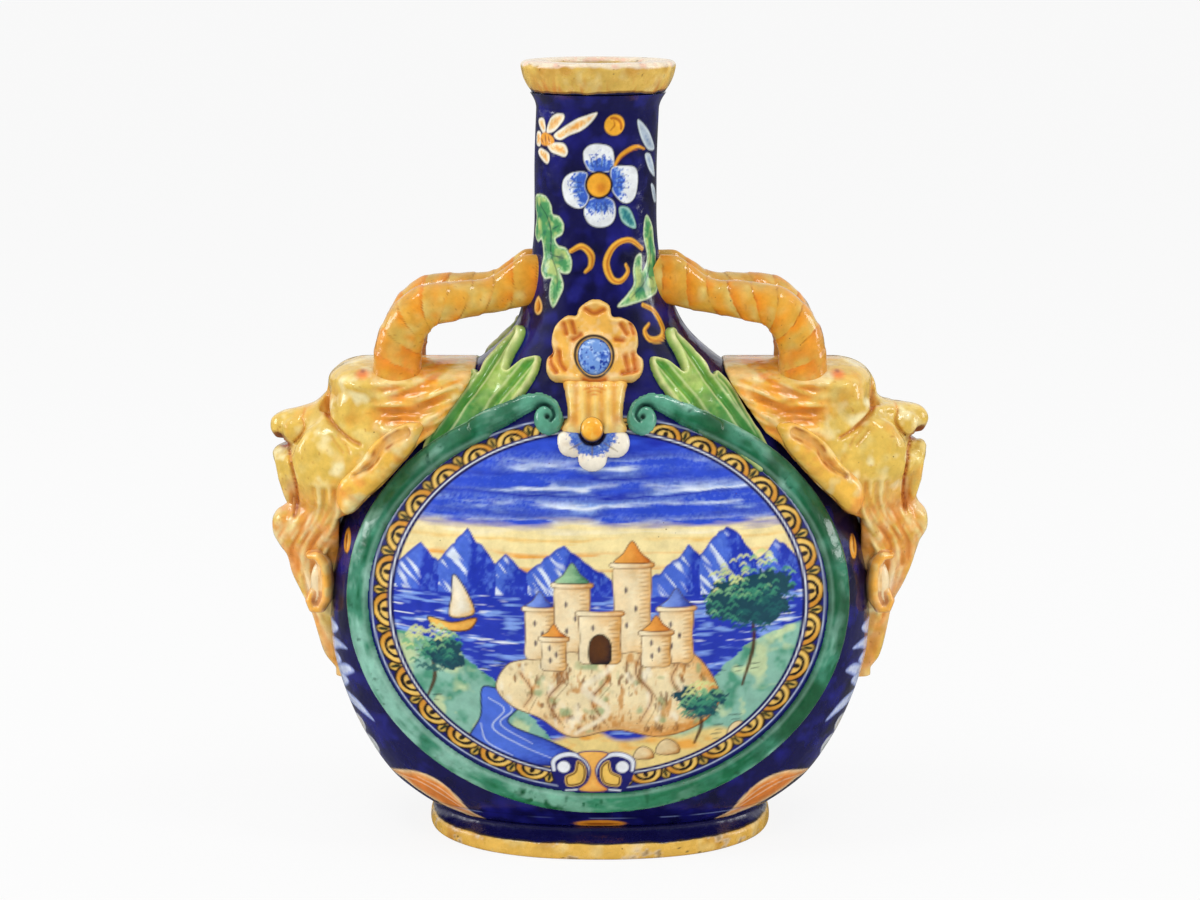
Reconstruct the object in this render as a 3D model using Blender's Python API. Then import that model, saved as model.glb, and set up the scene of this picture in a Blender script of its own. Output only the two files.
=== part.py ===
"""A glazed terracotta pilgrim flask: a flattened round body of two pressed halves, a thrown neck
with a rolled lip, a low oval foot, and satyr masks at the shoulders whose paired horns are the
handles. Every applied piece is its own solid, seated on the piece that carries it."""

import math

import bmesh
import bpy
import numpy as np

MM = 0.001

# Clearances between pieces luted together
LUTE_GAP = 0.3 * MM
MODELLED_GAP = 0.6 * MM

# Foot: a low oval ring with a rolled rim
FOOT_HEIGHT = 14.0 * MM
FOOT_WIDTH = 179.0 * MM
FOOT_DEPTH = 150.0 * MM
FOOT_RIM_HEIGHT = 8.5 * MM
FOOT_RIM_ROUNDING = 2.0 * MM
FOOT_WAIST_WIDTH = 173.0 * MM
FOOT_WAIST_DEPTH = 126.0 * MM
FOOT_BORE_WIDTH = 146.0 * MM
FOOT_BORE_DEPTH = 98.0 * MM
# Cove above the rim: share of the rise, then of the way out from waist to rim in width and depth
FOOT_COVE_SHARES = (0.4, 0.1, 0.25)

# Body: two pressed half shells that meet on the side seam
BODY_BASE_WIDTH = 180.0 * MM
BODY_BASE_DEPTH = 122.0 * MM
BODY_WIDTH = 283.0 * MM
BODY_DEPTH = 164.0 * MM
BELLY_HEIGHT = 98.0 * MM
SHOULDER_HEIGHT = 150.0 * MM
BODY_WALL = 7.0 * MM
FLOOR_THICKNESS = 7.0 * MM
FLOOR_ROUNDING = 3.5 * MM
NECK_JOINT_WIDTH = 89.0 * MM
NECK_JOINT_DEPTH = 74.0 * MM
BODY_OVALITY = 2.25
NECK_OVALITY = 2.0
MASK_OVALITY = 2.3

# Neck and rolled lip
NECK_HEIGHT = 122.0 * MM
NECK_DIAMETER = 62.6 * MM
NECK_TOP_DIAMETER = 69.0 * MM
NECK_FLARE_HEIGHT = 62.0 * MM
NECK_TOP_FLARE = 7.0 * MM
NECK_WALL = 6.5 * MM
NECK_LEAN = 2.3 * MM
LIP_HEIGHT = 16.0 * MM
LIP_DIAMETER = 78.6 * MM
LIP_ROUNDING = 4.0 * MM
LIP_UNDERCUT = 2.0 * MM
LIP_BEVEL_SHARE = 0.3

# Frame ring: a flat strip round the front, its ends rolled up as volutes
RING_WIDTH = 264.0 * MM
RING_TALL = 214.0 * MM
RING_STRIP = 12.0 * MM
RING_RELIEF = 5.0 * MM
RING_CENTRE_HEIGHT = 129.5 * MM
VOLUTE_RADIUS = 7.6 * MM
VOLUTE_OFFSET = 24.5 * MM
VOLUTE_RELIEF = 7.0 * MM
VOLUTE_END_SHARE = 0.35
# Across the strip: share of its half width, share of the relief
RING_PROFILE_SHARES = ((-1, 0.45), (-0.6, 1), (0, 0.85), (0.6, 1), (1, 0.45))

# Palmette between the volutes, with its cabochon, and the flower that hangs below it
PALMETTE_CENTRE_HEIGHT = 252.5 * MM
PALMETTE_HALF_WIDTH = 23.5 * MM
PALMETTE_RISE = 29.0 * MM
PALMETTE_DROP = 13.5 * MM
PALMETTE_RELIEF = 5.5 * MM
PALMETTE_SCALLOP_SHARE = 0.13
STEM_HALF_WIDTH = 15.0 * MM
STEM_LENGTH = 21.5 * MM
STEM_RELIEF = 6.0 * MM
STEM_GAP = 0.8 * MM
STEM_TOP_SHARE = 0.78
# Across the stem: share of its half width, share of the relief
STEM_FLUTE_SHARES = ((-1, 0.6), (-0.8, 1), (-0.5, 0.7), (-0.25, 1), (0, 0.8), (0.25, 1), (0.5, 0.7),
                     (0.8, 1), (1, 0.6))
CABOCHON_WIDTH = 17.0 * MM
CABOCHON_TALL = 21.0 * MM
CABOCHON_RELIEF = 4.0 * MM
FLOWER_HALF_WIDTH = 17.5 * MM
FLOWER_DROP = 17.0 * MM
FLOWER_RELIEF = 3.5 * MM
FLOWER_CENTRE_SHARE = 0.42
FLOWER_TOP_SHARE = 0.4
FLOWER_WAIST_SHARE = 0.62
BOSS_DIAMETER = 12.0 * MM
BOSS_RELIEF = 4.0 * MM

# Edges of the small reliefs: the share of the relief that is rounded, and the rings on the top
FLAT_CROWN_SHARE = 0.5
CURL_CROWN_SHARE = 0.6
DOMED_CROWN_SHARE = 0.8
BASE_RING_SHARE = 0.5
TOP_RING_SHARES = (0.86, 0.58, 0.3)

# Acanthus leaves that sweep from the neck down the shoulders
LEAF_WIDTH = 40.0 * MM
LEAF_RELIEF = 6.0 * MM
LEAF_RISE = 65.0 * MM
# Share of the frame ring's half height at which the leaf grows out of its strip
LEAF_FOOT_SHARE = 0.687
# Across the leaf: share of its half width, share of the relief
LEAF_PROFILE_SHARES = ((-1, 0.35), (-0.6, 0.8), (0, 1), (0.6, 0.8), (1, 0.35))

# Satyr masks
MASK_TOP_HEIGHT = 246.0 * MM
MASK_LENGTH = 164.0 * MM
MASK_PROJECTION = 29.5 * MM
MASK_BREADTH = 92.0 * MM
MASK_EDGE_TAPER = 1.5 * MM
NOSE_RIDGE = 13.0 * MM
MASK_CORE_SHARE = 0.4
MASK_WALL_SHARE = 0.55

# Horns, the four handles
HORN_ROOT_DIAMETER = 24.0 * MM
HORN_MIDDLE_DIAMETER = 20.5 * MM
HORN_TIP_DIAMETER = 25.0 * MM
HORN_SPREAD = 22.0 * MM
HORN_TIP_SPREAD = 11.5 * MM
HORN_ROOT_REACH = 103.5 * MM
HORN_RISE = 40.0 * MM
HORN_FLATTEN_SHARE = 0.7
HORN_FLAT_TIP_SHARE = 0.4

# Ears and beard curls
EAR_WIDTH = 18.0 * MM
EAR_THICKNESS = 13.0 * MM
EAR_TIP_REACH = 90.0 * MM
EAR_TIP_HEIGHT = 219.0 * MM
EAR_LOBE_REACH = 131.0 * MM
EAR_LOBE_HEIGHT = 173.0 * MM
EAR_SINK_SHARE = 0.1
EAR_FACING_SHARES = (0.45, 0.9)
CURL_TALL = 32.0 * MM
CURL_WIDTH = 19.0 * MM
CURL_RELIEF = 10.0 * MM
CURL_OFFSET = 18.0 * MM
# Share of the mask's length from its top down to the middle of the curl
CURL_DROP_SHARE = 0.695

# Levels that follow from the sizes above
BODY_BASE = FOOT_HEIGHT
BELLY_LEVEL = BODY_BASE + BELLY_HEIGHT
NECK_JOINT = BELLY_LEVEL + SHOULDER_HEIGHT
LIP_BASE = NECK_JOINT + NECK_HEIGHT
FLASK_HEIGHT = LIP_BASE + LIP_HEIGHT
SLOPE_STEP = BODY_WALL / 10
LEAF_FOOT_HEIGHT = RING_CENTRE_HEIGHT + RING_TALL / 2 * LEAF_FOOT_SHARE
LEAF_TOP_HEIGHT = LEAF_FOOT_HEIGHT + LEAF_RISE
# The masks stand out from the widest part of the body
MASK_REACH = BODY_WIDTH / 2 + MASK_PROJECTION
CURL_CENTRE_HEIGHT = MASK_TOP_HEIGHT - MASK_LENGTH * CURL_DROP_SHARE

# Body outline: share of the rise, then share of the growth in width and in depth
LOWER_SHARES = [(0, 0, 0), (0.07, 0.2, 0.17), (0.16, 0.4, 0.36), (0.3, 0.59, 0.57), (0.47, 0.76, 0.75),
                (0.67, 0.9, 0.9), (0.84, 0.975, 0.975), (1, 1, 1)]
UPPER_SHARES = [(0, 1, 1), (0.14, 0.985, 0.985), (0.27, 0.955, 0.935), (0.4, 0.895, 0.835),
                (0.53, 0.8, 0.695), (0.66, 0.64, 0.51), (0.76, 0.48, 0.35), (0.84, 0.32, 0.215),
                (0.92, 0.14, 0.09), (1, 0, 0)]

# Mask outline: share of the drop from the top, share of the reach to the ridge line, share of the
# reach to the face beside it, and share of the reach to the edge that lies on the body
MASK_SHARES_LEFT = [
    (0, 0.748, 0.74, 0.43), (0.02, 0.79, 0.775, 0.44), (0.05, 0.82, 0.80, 0.455),
    (0.095, 0.827, 0.81, 0.475), (0.115, 0.843, 0.815, 0.482), (0.138, 0.872, 0.82, 0.49),
    (0.152, 0.915, 0.822, 0.497),
    (0.168, 0.965, 0.825, 0.505), (0.19, 0.996, 0.835, 0.52), (0.22, 1.0, 0.85, 0.525),
    (0.25, 0.986, 0.865, 0.55), (0.272, 0.978, 0.875, 0.57), (0.295, 0.995, 0.882, 0.585),
    (0.325, 0.99, 0.882, 0.605), (0.4, 0.962, 0.87, 0.65), (0.45, 0.952, 0.866, 0.69),
    (0.475, 0.968, 0.868, 0.71), (0.51, 0.997, 0.872, 0.735), (0.55, 1.0, 0.87, 0.757),
    (0.6, 0.98, 0.86, 0.775), (0.63, 0.96, 0.855, 0.785), (0.69, 0.942, 0.85, 0.79),
    (0.75, 0.916, 0.842, 0.795), (0.82, 0.886, 0.832, 0.795), (0.89, 0.868, 0.822, 0.79),
    (0.95, 0.85, 0.812, 0.78), (1, 0.815, 0.79, 0.76)]
MASK_SHARES_RIGHT = [
    (0, 0.75, 0.74, 0.43), (0.025, 0.805, 0.785, 0.442), (0.07, 0.833, 0.81, 0.464),
    (0.105, 0.84, 0.815, 0.478), (0.128, 0.868, 0.82, 0.486), (0.136, 0.92, 0.822, 0.489),
    (0.152, 0.972, 0.825, 0.497),
    (0.19, 0.992, 0.835, 0.52), (0.225, 0.983, 0.85, 0.525), (0.25, 0.962, 0.865, 0.55),
    (0.272, 0.976, 0.875, 0.57), (0.295, 0.992, 0.882, 0.585), (0.33, 0.985, 0.882, 0.605),
    (0.355, 0.966, 0.878, 0.625), (0.41, 0.962, 0.87, 0.655), (0.45, 0.97, 0.868, 0.69),
    (0.49, 0.993, 0.872, 0.72), (0.535, 1.0, 0.87, 0.75), (0.58, 0.98, 0.862, 0.77),
    (0.64, 0.962, 0.855, 0.787), (0.72, 0.93, 0.846, 0.795), (0.79, 0.897, 0.836, 0.795),
    (0.89, 0.88, 0.824, 0.79), (0.96, 0.862, 0.812, 0.78), (1, 0.835, 0.79, 0.76)]
# Share of the drop, then the half breadth of the mask as a share of its greatest
MASK_BREADTH_SHARES = [(0, 0.8), (0.1, 0.88), (0.2, 0.97), (0.3, 1), (0.4, 0.98), (0.47, 0.86), (0.52, 0.66),
                       (0.6, 0.42), (0.7, 0.25), (0.85, 0.2), (1, 0.12)]
# Share of the drop, then the width of the ridge as a share of the nose ridge
RIDGE_SHARES = [(0, 2.2), (0.1, 2.2), (0.16, 1.1), (0.27, 1.25), (0.31, 2.3), (0.42, 2.0), (0.46, 1.3),
                (0.6, 1.3), (1, 1)]

# Leaf: share of its length, its turn from the flank towards the face as a share of a right angle,
# and share of its width
LEAF_SHARES = [(0, 0.27, 0.1), (0.13, 0.31, 0.45), (0.25, 0.38, 0.8), (0.36, 0.45, 1), (0.5, 0.45, 0.86),
               (0.62, 0.43, 0.92), (0.74, 0.41, 0.7), (0.87, 0.39, 0.55), (1, 0.37, 0.2)]
# Horn: share of its length, of the way in from root to neck, of the rise, of the spread
HORN_SHARES = [(0, 0, -0.25, 0.9), (0.1, 0.0, 0.06, 0.95), (0.22, 0.03, 0.36, 1), (0.34, 0.1, 0.6, 1),
               (0.46, 0.22, 0.77, 0.9), (0.6, 0.42, 0.83, 0.65), (0.74, 0.64, 0.88, 0.35),
               (0.87, 0.84, 1.0, 0.1), (1, 1.06, 1.2, 0)]
# The neck's lean to the left: share of its height, share of the lean
NECK_LEAN_SHARES = [(0, 0), (0.3, 1), (0.66, 1), (1, 0.4)]
# Horn thickness: share of its length, then shares of root, middle and tip diameter
HORN_THICKNESS_SHARES = [(0, 1, 0, 0), (0.25, 0.85, 0.15, 0), (0.55, 0, 1, 0), (0.75, 0, 0.86, 0),
                         (0.88, 0, 0.5, 0.5), (1, 0, 0, 1)]
# Ear: shares of its length, of the way out and down from tip to lobe, and of its width
EAR_SHARES = [(0, 0, 0, 0.1), (0.15, 0.13, 0.17, 0.5), (0.35, 0.35, 0.36, 0.85), (0.55, 0.57, 0.52, 1.0),
              (0.75, 0.77, 0.71, 0.95), (0.9, 0.92, 0.88, 0.7), (1, 1, 1, 0.25)]
PALMETTE_LOBES = 7


def smooth_value(rows, share, column):
    """The column's value at this share, on a curve through the rows that never overshoots them."""
    places = [row[0] for row in rows]
    values = [row[column] for row in rows]
    if share <= places[0]:
        return values[0]
    if share >= places[-1]:
        return values[-1]
    rises = [(values[i + 1] - values[i]) / (places[i + 1] - places[i]) for i in range(len(rows) - 1)]
    slopes = [rises[0]] + [0.0 if a * b <= 0 else 2 * a * b / (a + b) for a, b in zip(rises, rises[1:])]
    slopes.append(rises[-1])
    i = max(k for k in range(len(rows) - 1) if places[k] <= share)
    span = places[i + 1] - places[i]
    t = (share - places[i]) / span
    return (values[i] * (1 + 2 * t) * (1 - t) ** 2 + slopes[i] * span * t * (1 - t) ** 2
            + values[i + 1] * t * t * (3 - 2 * t) - slopes[i + 1] * span * t * t * (1 - t))


def between(low, high, share):
    return low + (high - low) * share


def neck_ease(share):
    """How much of the neck's flare is left at this share of its height."""
    return max(1 - share, 0) ** 2.2


def body_section(level):
    """Half width, half depth and ovality at this height of the body, and of the flare above it."""
    if level < BELLY_LEVEL:
        share = (level - BODY_BASE) / BELLY_HEIGHT
        width = between(BODY_BASE_WIDTH, BODY_WIDTH, smooth_value(LOWER_SHARES, share, 1))
        depth = between(BODY_BASE_DEPTH, BODY_DEPTH, smooth_value(LOWER_SHARES, share, 2))
        return width / 2, depth / 2, BODY_OVALITY
    if level > NECK_JOINT:
        ease = neck_ease((level - NECK_JOINT) / NECK_FLARE_HEIGHT)
        width = between(NECK_DIAMETER, NECK_JOINT_WIDTH, ease)
        return width / 2, between(NECK_DIAMETER, NECK_JOINT_DEPTH, ease) / 2, NECK_OVALITY
    share = (level - BELLY_LEVEL) / SHOULDER_HEIGHT
    width = between(NECK_JOINT_WIDTH, BODY_WIDTH, smooth_value(UPPER_SHARES, share, 1))
    depth = between(NECK_JOINT_DEPTH, BODY_DEPTH, smooth_value(UPPER_SHARES, share, 2))
    return width / 2, depth / 2, between(BODY_OVALITY, NECK_OVALITY, min(max(share, 0), 1))


def oval_point(half_width, half_depth, ovality, angle):
    """Point of an oval at this angle from +X, as plan coordinates."""
    cosine, sine = math.cos(angle), math.sin(angle)
    x = half_width * math.copysign(abs(cosine) ** (2 / ovality), cosine)
    y = half_depth * math.copysign(abs(sine) ** (2 / ovality), sine)
    return x, y


def face_point(x, level, height, side):
    """Point that stands this far off the body's front (side -1) or back (side 1)."""
    step = SLOPE_STEP

    def depth_at(x_there, level_there):
        half_width, half_depth, ovality = body_section(level_there)
        share = min(abs(x_there) / half_width, 1.0)
        return half_depth * (1 - share ** ovality) ** (1 / ovality)

    depth = depth_at(x, level)
    lean_x = (depth_at(x - step, level) - depth_at(x + step, level)) / (2 * step)
    lean_z = (depth_at(x, level - step) - depth_at(x, level + step)) / (2 * step)
    length = math.sqrt(1 + lean_x ** 2 + lean_z ** 2)
    return (x + height * lean_x / length, side * (depth + height / length), level + height * lean_z / length)


def flank_point(y, level, height, side):
    """Point that stands this far off the body's left (side -1) or right (side 1) flank."""
    step = SLOPE_STEP

    def reach_at(y_there, level_there):
        half_width, half_depth, ovality = body_section(level_there)
        share = min(abs(y_there) / half_depth, 1.0)
        return half_width * (1 - share ** ovality) ** (1 / ovality)

    reach = reach_at(y, level)
    lean_y = (reach_at(y - step, level) - reach_at(y + step, level)) / (2 * step)
    lean_z = (reach_at(y, level - step) - reach_at(y, level + step)) / (2 * step)
    length = math.sqrt(1 + lean_y ** 2 + lean_z ** 2)
    return (side * (reach + height / length), y + height * lean_y / length, level + height * lean_z / length)


def glaze(name, colour, roughness):
    """Glazed clay of this colour, as linear red, green and blue."""
    material = bpy.data.materials.new(name)
    material.use_nodes = True
    shader = material.node_tree.nodes["Principled BSDF"]
    shader.inputs["Base Color"].default_value = (*colour, 1)
    shader.inputs["Roughness"].default_value = roughness
    shader.inputs["Metallic"].default_value = 0
    material.diffuse_color = (*colour, 1)
    return material


def loft(name, loops, material, wrap=False, strip_ends=False):
    """One closed solid through the loops. A loop of one point is a pole. Wrapped, the last loop
    meets the first; with strip ends, each end is closed by quads across the loop. Its triangles
    take one diagonal throughout, so a form grown from the same loops stays parallel to it."""
    mesh = bpy.data.meshes.new(name)
    build = bmesh.new()
    rows = [[build.verts.new(point) for point in loop] for loop in loops]
    pairs = list(zip(rows, rows[1:])) + ([(rows[-1], rows[0])] if wrap else [])
    for low, high in pairs:
        count = max(len(low), len(high))
        for i in range(count):
            j = (i + 1) % count
            if len(low) == 1:
                build.faces.new((low[0], high[j], high[i]))
            elif len(high) == 1:
                build.faces.new((low[i], low[j], high[0]))
            else:
                build.faces.new((low[i], low[j], high[j]))
                build.faces.new((low[i], high[j], high[i]))
    if not wrap:
        for row in (rows[0], rows[-1]):
            if len(row) == 1:
                continue
            if strip_ends:
                last = len(row) - 1
                for i in range(len(row) // 2 - 1):
                    build.faces.new((row[i], row[i + 1], row[last - i - 1], row[last - i]))
            else:
                build.faces.new(row)
    bmesh.ops.recalc_face_normals(build, faces=build.faces)
    build.to_mesh(mesh)
    build.free()
    mesh.shade_smooth()
    mesh.set_sharp_from_angle(angle=math.radians(40))
    mesh.materials.append(material)
    piece = bpy.data.objects.new(name, mesh)
    bpy.context.scene.collection.objects.link(piece)
    return piece


def as_cutter(piece):
    piece.hide_render = True
    piece.display_type = "WIRE"
    return piece


def cut(piece, cutters):
    """Cuts each neighbour's grown form out of the piece, so that it seats with the luting gap."""
    for cutter in cutters:
        modifier = piece.modifiers.new("seat_on_" + cutter.name, "BOOLEAN")
        modifier.operation = "DIFFERENCE"
        modifier.solver = "EXACT"
        modifier.object = cutter
    return piece


# Foot ring
def foot_ring(material):
    """Low oval ring: rolled rim below, hollow waist above, open in the middle."""
    cove_rise, cove_width, cove_depth = FOOT_COVE_SHARES
    sides = 40
    rows = [
        (0, FOOT_WIDTH - FOOT_RIM_ROUNDING, FOOT_DEPTH - FOOT_RIM_ROUNDING),
        (FOOT_RIM_ROUNDING, FOOT_WIDTH, FOOT_DEPTH),
        (FOOT_RIM_HEIGHT - FOOT_RIM_ROUNDING, FOOT_WIDTH, FOOT_DEPTH),
        (FOOT_RIM_HEIGHT, FOOT_WIDTH - 2 * FOOT_RIM_ROUNDING, FOOT_DEPTH - 2 * FOOT_RIM_ROUNDING),
        (between(FOOT_RIM_HEIGHT, FOOT_HEIGHT, cove_rise), between(FOOT_WAIST_WIDTH, FOOT_WIDTH, cove_width),
         between(FOOT_WAIST_DEPTH, FOOT_DEPTH, cove_depth)),
        (FOOT_HEIGHT - LUTE_GAP, FOOT_WAIST_WIDTH, FOOT_WAIST_DEPTH),
        (FOOT_HEIGHT - LUTE_GAP, FOOT_BORE_WIDTH, FOOT_BORE_DEPTH),
        (0, FOOT_BORE_WIDTH, FOOT_BORE_DEPTH)]
    loops = []
    for level, width, depth in rows:
        plan = [oval_point(width / 2, depth / 2, BODY_OVALITY, 2 * math.pi * i / sides) for i in range(sides)]
        loops.append([(x, y, level) for x, y in plan])
    return loft("foot_ring", loops, material, wrap=True)


# Body halves
BODY_LOWER_STEPS_SHARES = (0, 0.035, 0.09, 0.2, 0.35, 0.53, 0.75)
BODY_UPPER_STEPS_SHARES = (0, 0.18, 0.33, 0.46, 0.57, 0.66, 0.73, 0.8, 0.87, 0.93, 1)
BODY_COLUMNS = 20


def body_levels():
    lower = [BODY_BASE + BELLY_HEIGHT * share for share in BODY_LOWER_STEPS_SHARES]
    return lower + [BELLY_LEVEL + SHOULDER_HEIGHT * share for share in BODY_UPPER_STEPS_SHARES]


def half_arc(half_width, half_depth, ovality, side):
    """Half an oval from +X to -X on one side of the seam."""
    seam = LUTE_GAP / 2
    points = []
    for i in range(BODY_COLUMNS + 1):
        x, y = oval_point(half_width, half_depth - seam, ovality, math.pi * i / BODY_COLUMNS)
        points.append((x, side * (seam + abs(y))))
    points[0] = (half_width, side * seam)
    points[-1] = (-half_width, side * seam)
    return points


def body_half(name, side, material):
    """Pressed half shell: closed below, open at the neck joint, flat on the seam."""
    loops = []
    floor = BODY_BASE + FLOOR_THICKNESS
    levels = body_levels()
    for i, level in enumerate(levels):
        half_width, half_depth, ovality = body_section(level)
        outer = [(x, y, level) for x, y in half_arc(half_width, half_depth, ovality, side)]
        if i < 2:
            inner_level = BODY_BASE if i == 0 else floor
            half_width, half_depth, ovality = body_section(floor + FLOOR_ROUNDING)
            span = half_width - BODY_WALL
            inner = [(span * (1 - 2 * j / BODY_COLUMNS), side * LUTE_GAP / 2, inner_level)
                     for j in range(BODY_COLUMNS + 1)]
        else:
            inner_level = max(level, floor + FLOOR_ROUNDING) if i > 2 else floor + FLOOR_ROUNDING
            half_width, half_depth, ovality = body_section(inner_level)
            inner = [(x, y, inner_level) for x, y in
                     half_arc(half_width - BODY_WALL, half_depth - BODY_WALL, ovality, side)]
        if level == levels[-1]:
            outer = [(x, y, level - LUTE_GAP) for x, y, _ in outer]
            inner = [(x, y, level - LUTE_GAP) for x, y, _ in inner]
        loops.append(outer + inner[::-1])
    return loft(name, loops, material, strip_ends=True)


def body_form(grow):
    """The body as one plain solid, grown by this much: the seat of all that lies on it."""
    loops = []
    for level in body_levels():
        half_width, half_depth, ovality = body_section(level)
        plan = [oval_point(half_width + grow, half_depth + grow, ovality, math.pi * i / BODY_COLUMNS)
                for i in range(2 * BODY_COLUMNS)]
        loops.append([(x, y, level) for x, y in plan])
    return as_cutter(loft("body_form", loops, None))


# Neck and lip
NECK_FLARE_STEPS_SHARES = (0, 0.12, 0.27, 0.45, 0.7, 1)
NECK_TOP_EASE_SHARE = 0.35


def neck_sections():
    """Height, half width and half depth of the neck's outside, from the joint to the lip."""
    rows = []
    for share in NECK_FLARE_STEPS_SHARES:
        ease = neck_ease(share)
        level = NECK_JOINT + NECK_FLARE_HEIGHT * share
        rows.append((level, between(NECK_DIAMETER, NECK_JOINT_WIDTH, ease) / 2,
                     between(NECK_DIAMETER, NECK_JOINT_DEPTH, ease) / 2))
    radius = NECK_DIAMETER / 2
    rows.append((LIP_BASE - NECK_TOP_FLARE, radius, radius))
    radius = between(NECK_DIAMETER, NECK_TOP_DIAMETER, NECK_TOP_EASE_SHARE) / 2
    rows.append((LIP_BASE - NECK_TOP_FLARE / 2, radius, radius))
    rows.append((LIP_BASE - LUTE_GAP, NECK_TOP_DIAMETER / 2, NECK_TOP_DIAMETER / 2))
    return rows


def round_loop(level, half_width, half_depth, count=28):
    plan = [oval_point(half_width, half_depth, NECK_OVALITY, 2 * math.pi * i / count) for i in range(count)]
    lean = NECK_LEAN * smooth_value(NECK_LEAN_SHARES, (level - NECK_JOINT) / NECK_HEIGHT, 1)
    return [(x - lean, y, level) for x, y in plan]


def neck(material):
    """Thrown tube that flares into the body below and under the lip above."""
    outside = neck_sections()
    bore = NECK_DIAMETER / 2 - NECK_WALL
    inside = [(level, max(half_width - NECK_WALL, bore), max(half_depth - NECK_WALL, bore))
              for level, half_width, half_depth in outside[:len(NECK_FLARE_STEPS_SHARES) - 1]]
    inside.append((LIP_BASE - LUTE_GAP, bore, bore))
    return loft("neck", [round_loop(*row) for row in outside + inside[::-1]], material, wrap=True)


def neck_form(grow):
    loops = [round_loop(level, half_width + grow, half_depth + grow)
             for level, half_width, half_depth in neck_sections()]
    return as_cutter(loft("neck_form", loops, None))


def mouth_rim(material):
    """Rolled lip coil: undercut below, round at its edge, nearly flat on top."""
    bore = NECK_DIAMETER / 2 - NECK_WALL
    edge = LIP_DIAMETER / 2
    rows = [
        (LIP_BASE, bore), (LIP_BASE, NECK_TOP_DIAMETER / 2),
        (LIP_BASE + LIP_UNDERCUT, edge - LIP_ROUNDING / 4), (LIP_BASE + LIP_UNDERCUT * 2, edge),
        (FLASK_HEIGHT - LIP_ROUNDING, edge),
        (FLASK_HEIGHT - LIP_ROUNDING * LIP_BEVEL_SHARE, edge - LIP_ROUNDING * LIP_BEVEL_SHARE),
        (FLASK_HEIGHT, edge - LIP_ROUNDING), (FLASK_HEIGHT, bore + LIP_ROUNDING / 2),
        (FLASK_HEIGHT - LIP_ROUNDING / 2, bore)]
    loops = [round_loop(level, radius, radius) for level, radius in rows]
    return loft("mouth_rim", loops, material, wrap=True)


# Frame rings
def frame_ring_loops(side, grow):
    """Sections of a flat strip on an oval path, its two ends swelling into volutes at the top."""
    half_width = (RING_WIDTH - RING_STRIP) / 2
    half_tall = (RING_TALL - RING_STRIP) / 2
    swell = VOLUTE_RADIUS / half_width
    opening = math.asin(VOLUTE_OFFSET / half_width) - swell
    length = 2 * math.pi - 2 * opening
    curl_steps = 7
    run_steps = 42
    curl = [swell * (1 - math.cos(math.pi * k / curl_steps)) for k in range(curl_steps)]
    run = [between(2 * swell, length - 2 * swell, k / run_steps) for k in range(run_steps + 1)]
    loops = []
    for travel in curl + run + [length - ahead for ahead in curl[::-1]]:
        angle = math.pi / 2 + opening + travel
        from_end = min(travel, length - travel) - swell
        bulge = math.sqrt(max(1 - (from_end / swell) ** 2, 0)) if abs(from_end) < swell else 0
        half_strip = max(bulge * VOLUTE_RADIUS, RING_STRIP / 2)
        if from_end < 0:
            half_strip = max(bulge, VOLUTE_END_SHARE) * VOLUTE_RADIUS
        half_strip += grow
        relief = between(RING_RELIEF, VOLUTE_RELIEF, bulge)
        out_x, out_z = math.cos(angle) / half_width, math.sin(angle) / half_tall
        size = math.hypot(out_x, out_z)

        def at(across, height, angle=angle, reach=half_strip, out_x=out_x / size, out_z=out_z / size):
            x = half_width * math.cos(angle) + reach * across * out_x
            level = RING_CENTRE_HEIGHT + half_tall * math.sin(angle) + reach * across * out_z
            return face_point(x, level, height, side)

        loop = [at(across, MODELLED_GAP + relief * rise + grow) for across, rise in RING_PROFILE_SHARES]
        loop += [at(across, MODELLED_GAP - 2 * grow) for across, _ in RING_PROFILE_SHARES[::-1]]
        loops.append(loop)
    return loops


# Reliefs with an outline round a centre
def relief_disc(name, centre, outline, relief, crown, place, material, base=MODELLED_GAP, count=28):
    """Low relief inside an outline given as an offset for each angle. The crown is the share of the
    relief that its rounded edge takes; the rest is a flat field."""
    def ring(share, height):
        points = []
        for i in range(count):
            across, up = outline(2 * math.pi * i / count)
            points.append(place(centre[0] + across * share, centre[1] + up * share, height))
        return points

    top = base + relief
    loops = [[place(centre[0], centre[1], base)], ring(BASE_RING_SHARE, base), ring(1, base),
             ring(1, base + relief * (1 - crown))]
    loops += [ring(share, top) for share in TOP_RING_SHARES]
    loops.append([place(centre[0], centre[1], top)])
    return loft(name, loops, material)


def palmette_outline(angle):
    """Scalloped fan of lobes, taller above than below."""
    notch = abs(math.sin(PALMETTE_LOBES * (angle - math.pi / 2) / 2)) ** 1.5
    scallop = 1 - PALMETTE_SCALLOP_SHARE * notch
    rise = PALMETTE_RISE if math.sin(angle) > 0 else PALMETTE_DROP
    return PALMETTE_HALF_WIDTH * scallop * math.cos(angle), rise * scallop * math.sin(angle)


def oval_outline(half_width, half_tall):
    return lambda angle: (half_width * math.cos(angle), half_tall * math.sin(angle))


def flower_outline(angle):
    """Three petals, to the left, down and to the right, and a short top beside the stem."""
    petals = between(FLOWER_WAIST_SHARE, 1, abs(math.cos(1.5 * (angle + math.pi / 2))) ** 0.6)
    if math.sin(angle) > 0.3:
        petals = FLOWER_TOP_SHARE
    return FLOWER_HALF_WIDTH * petals * math.cos(angle), FLOWER_DROP * petals * math.sin(angle)


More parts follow.
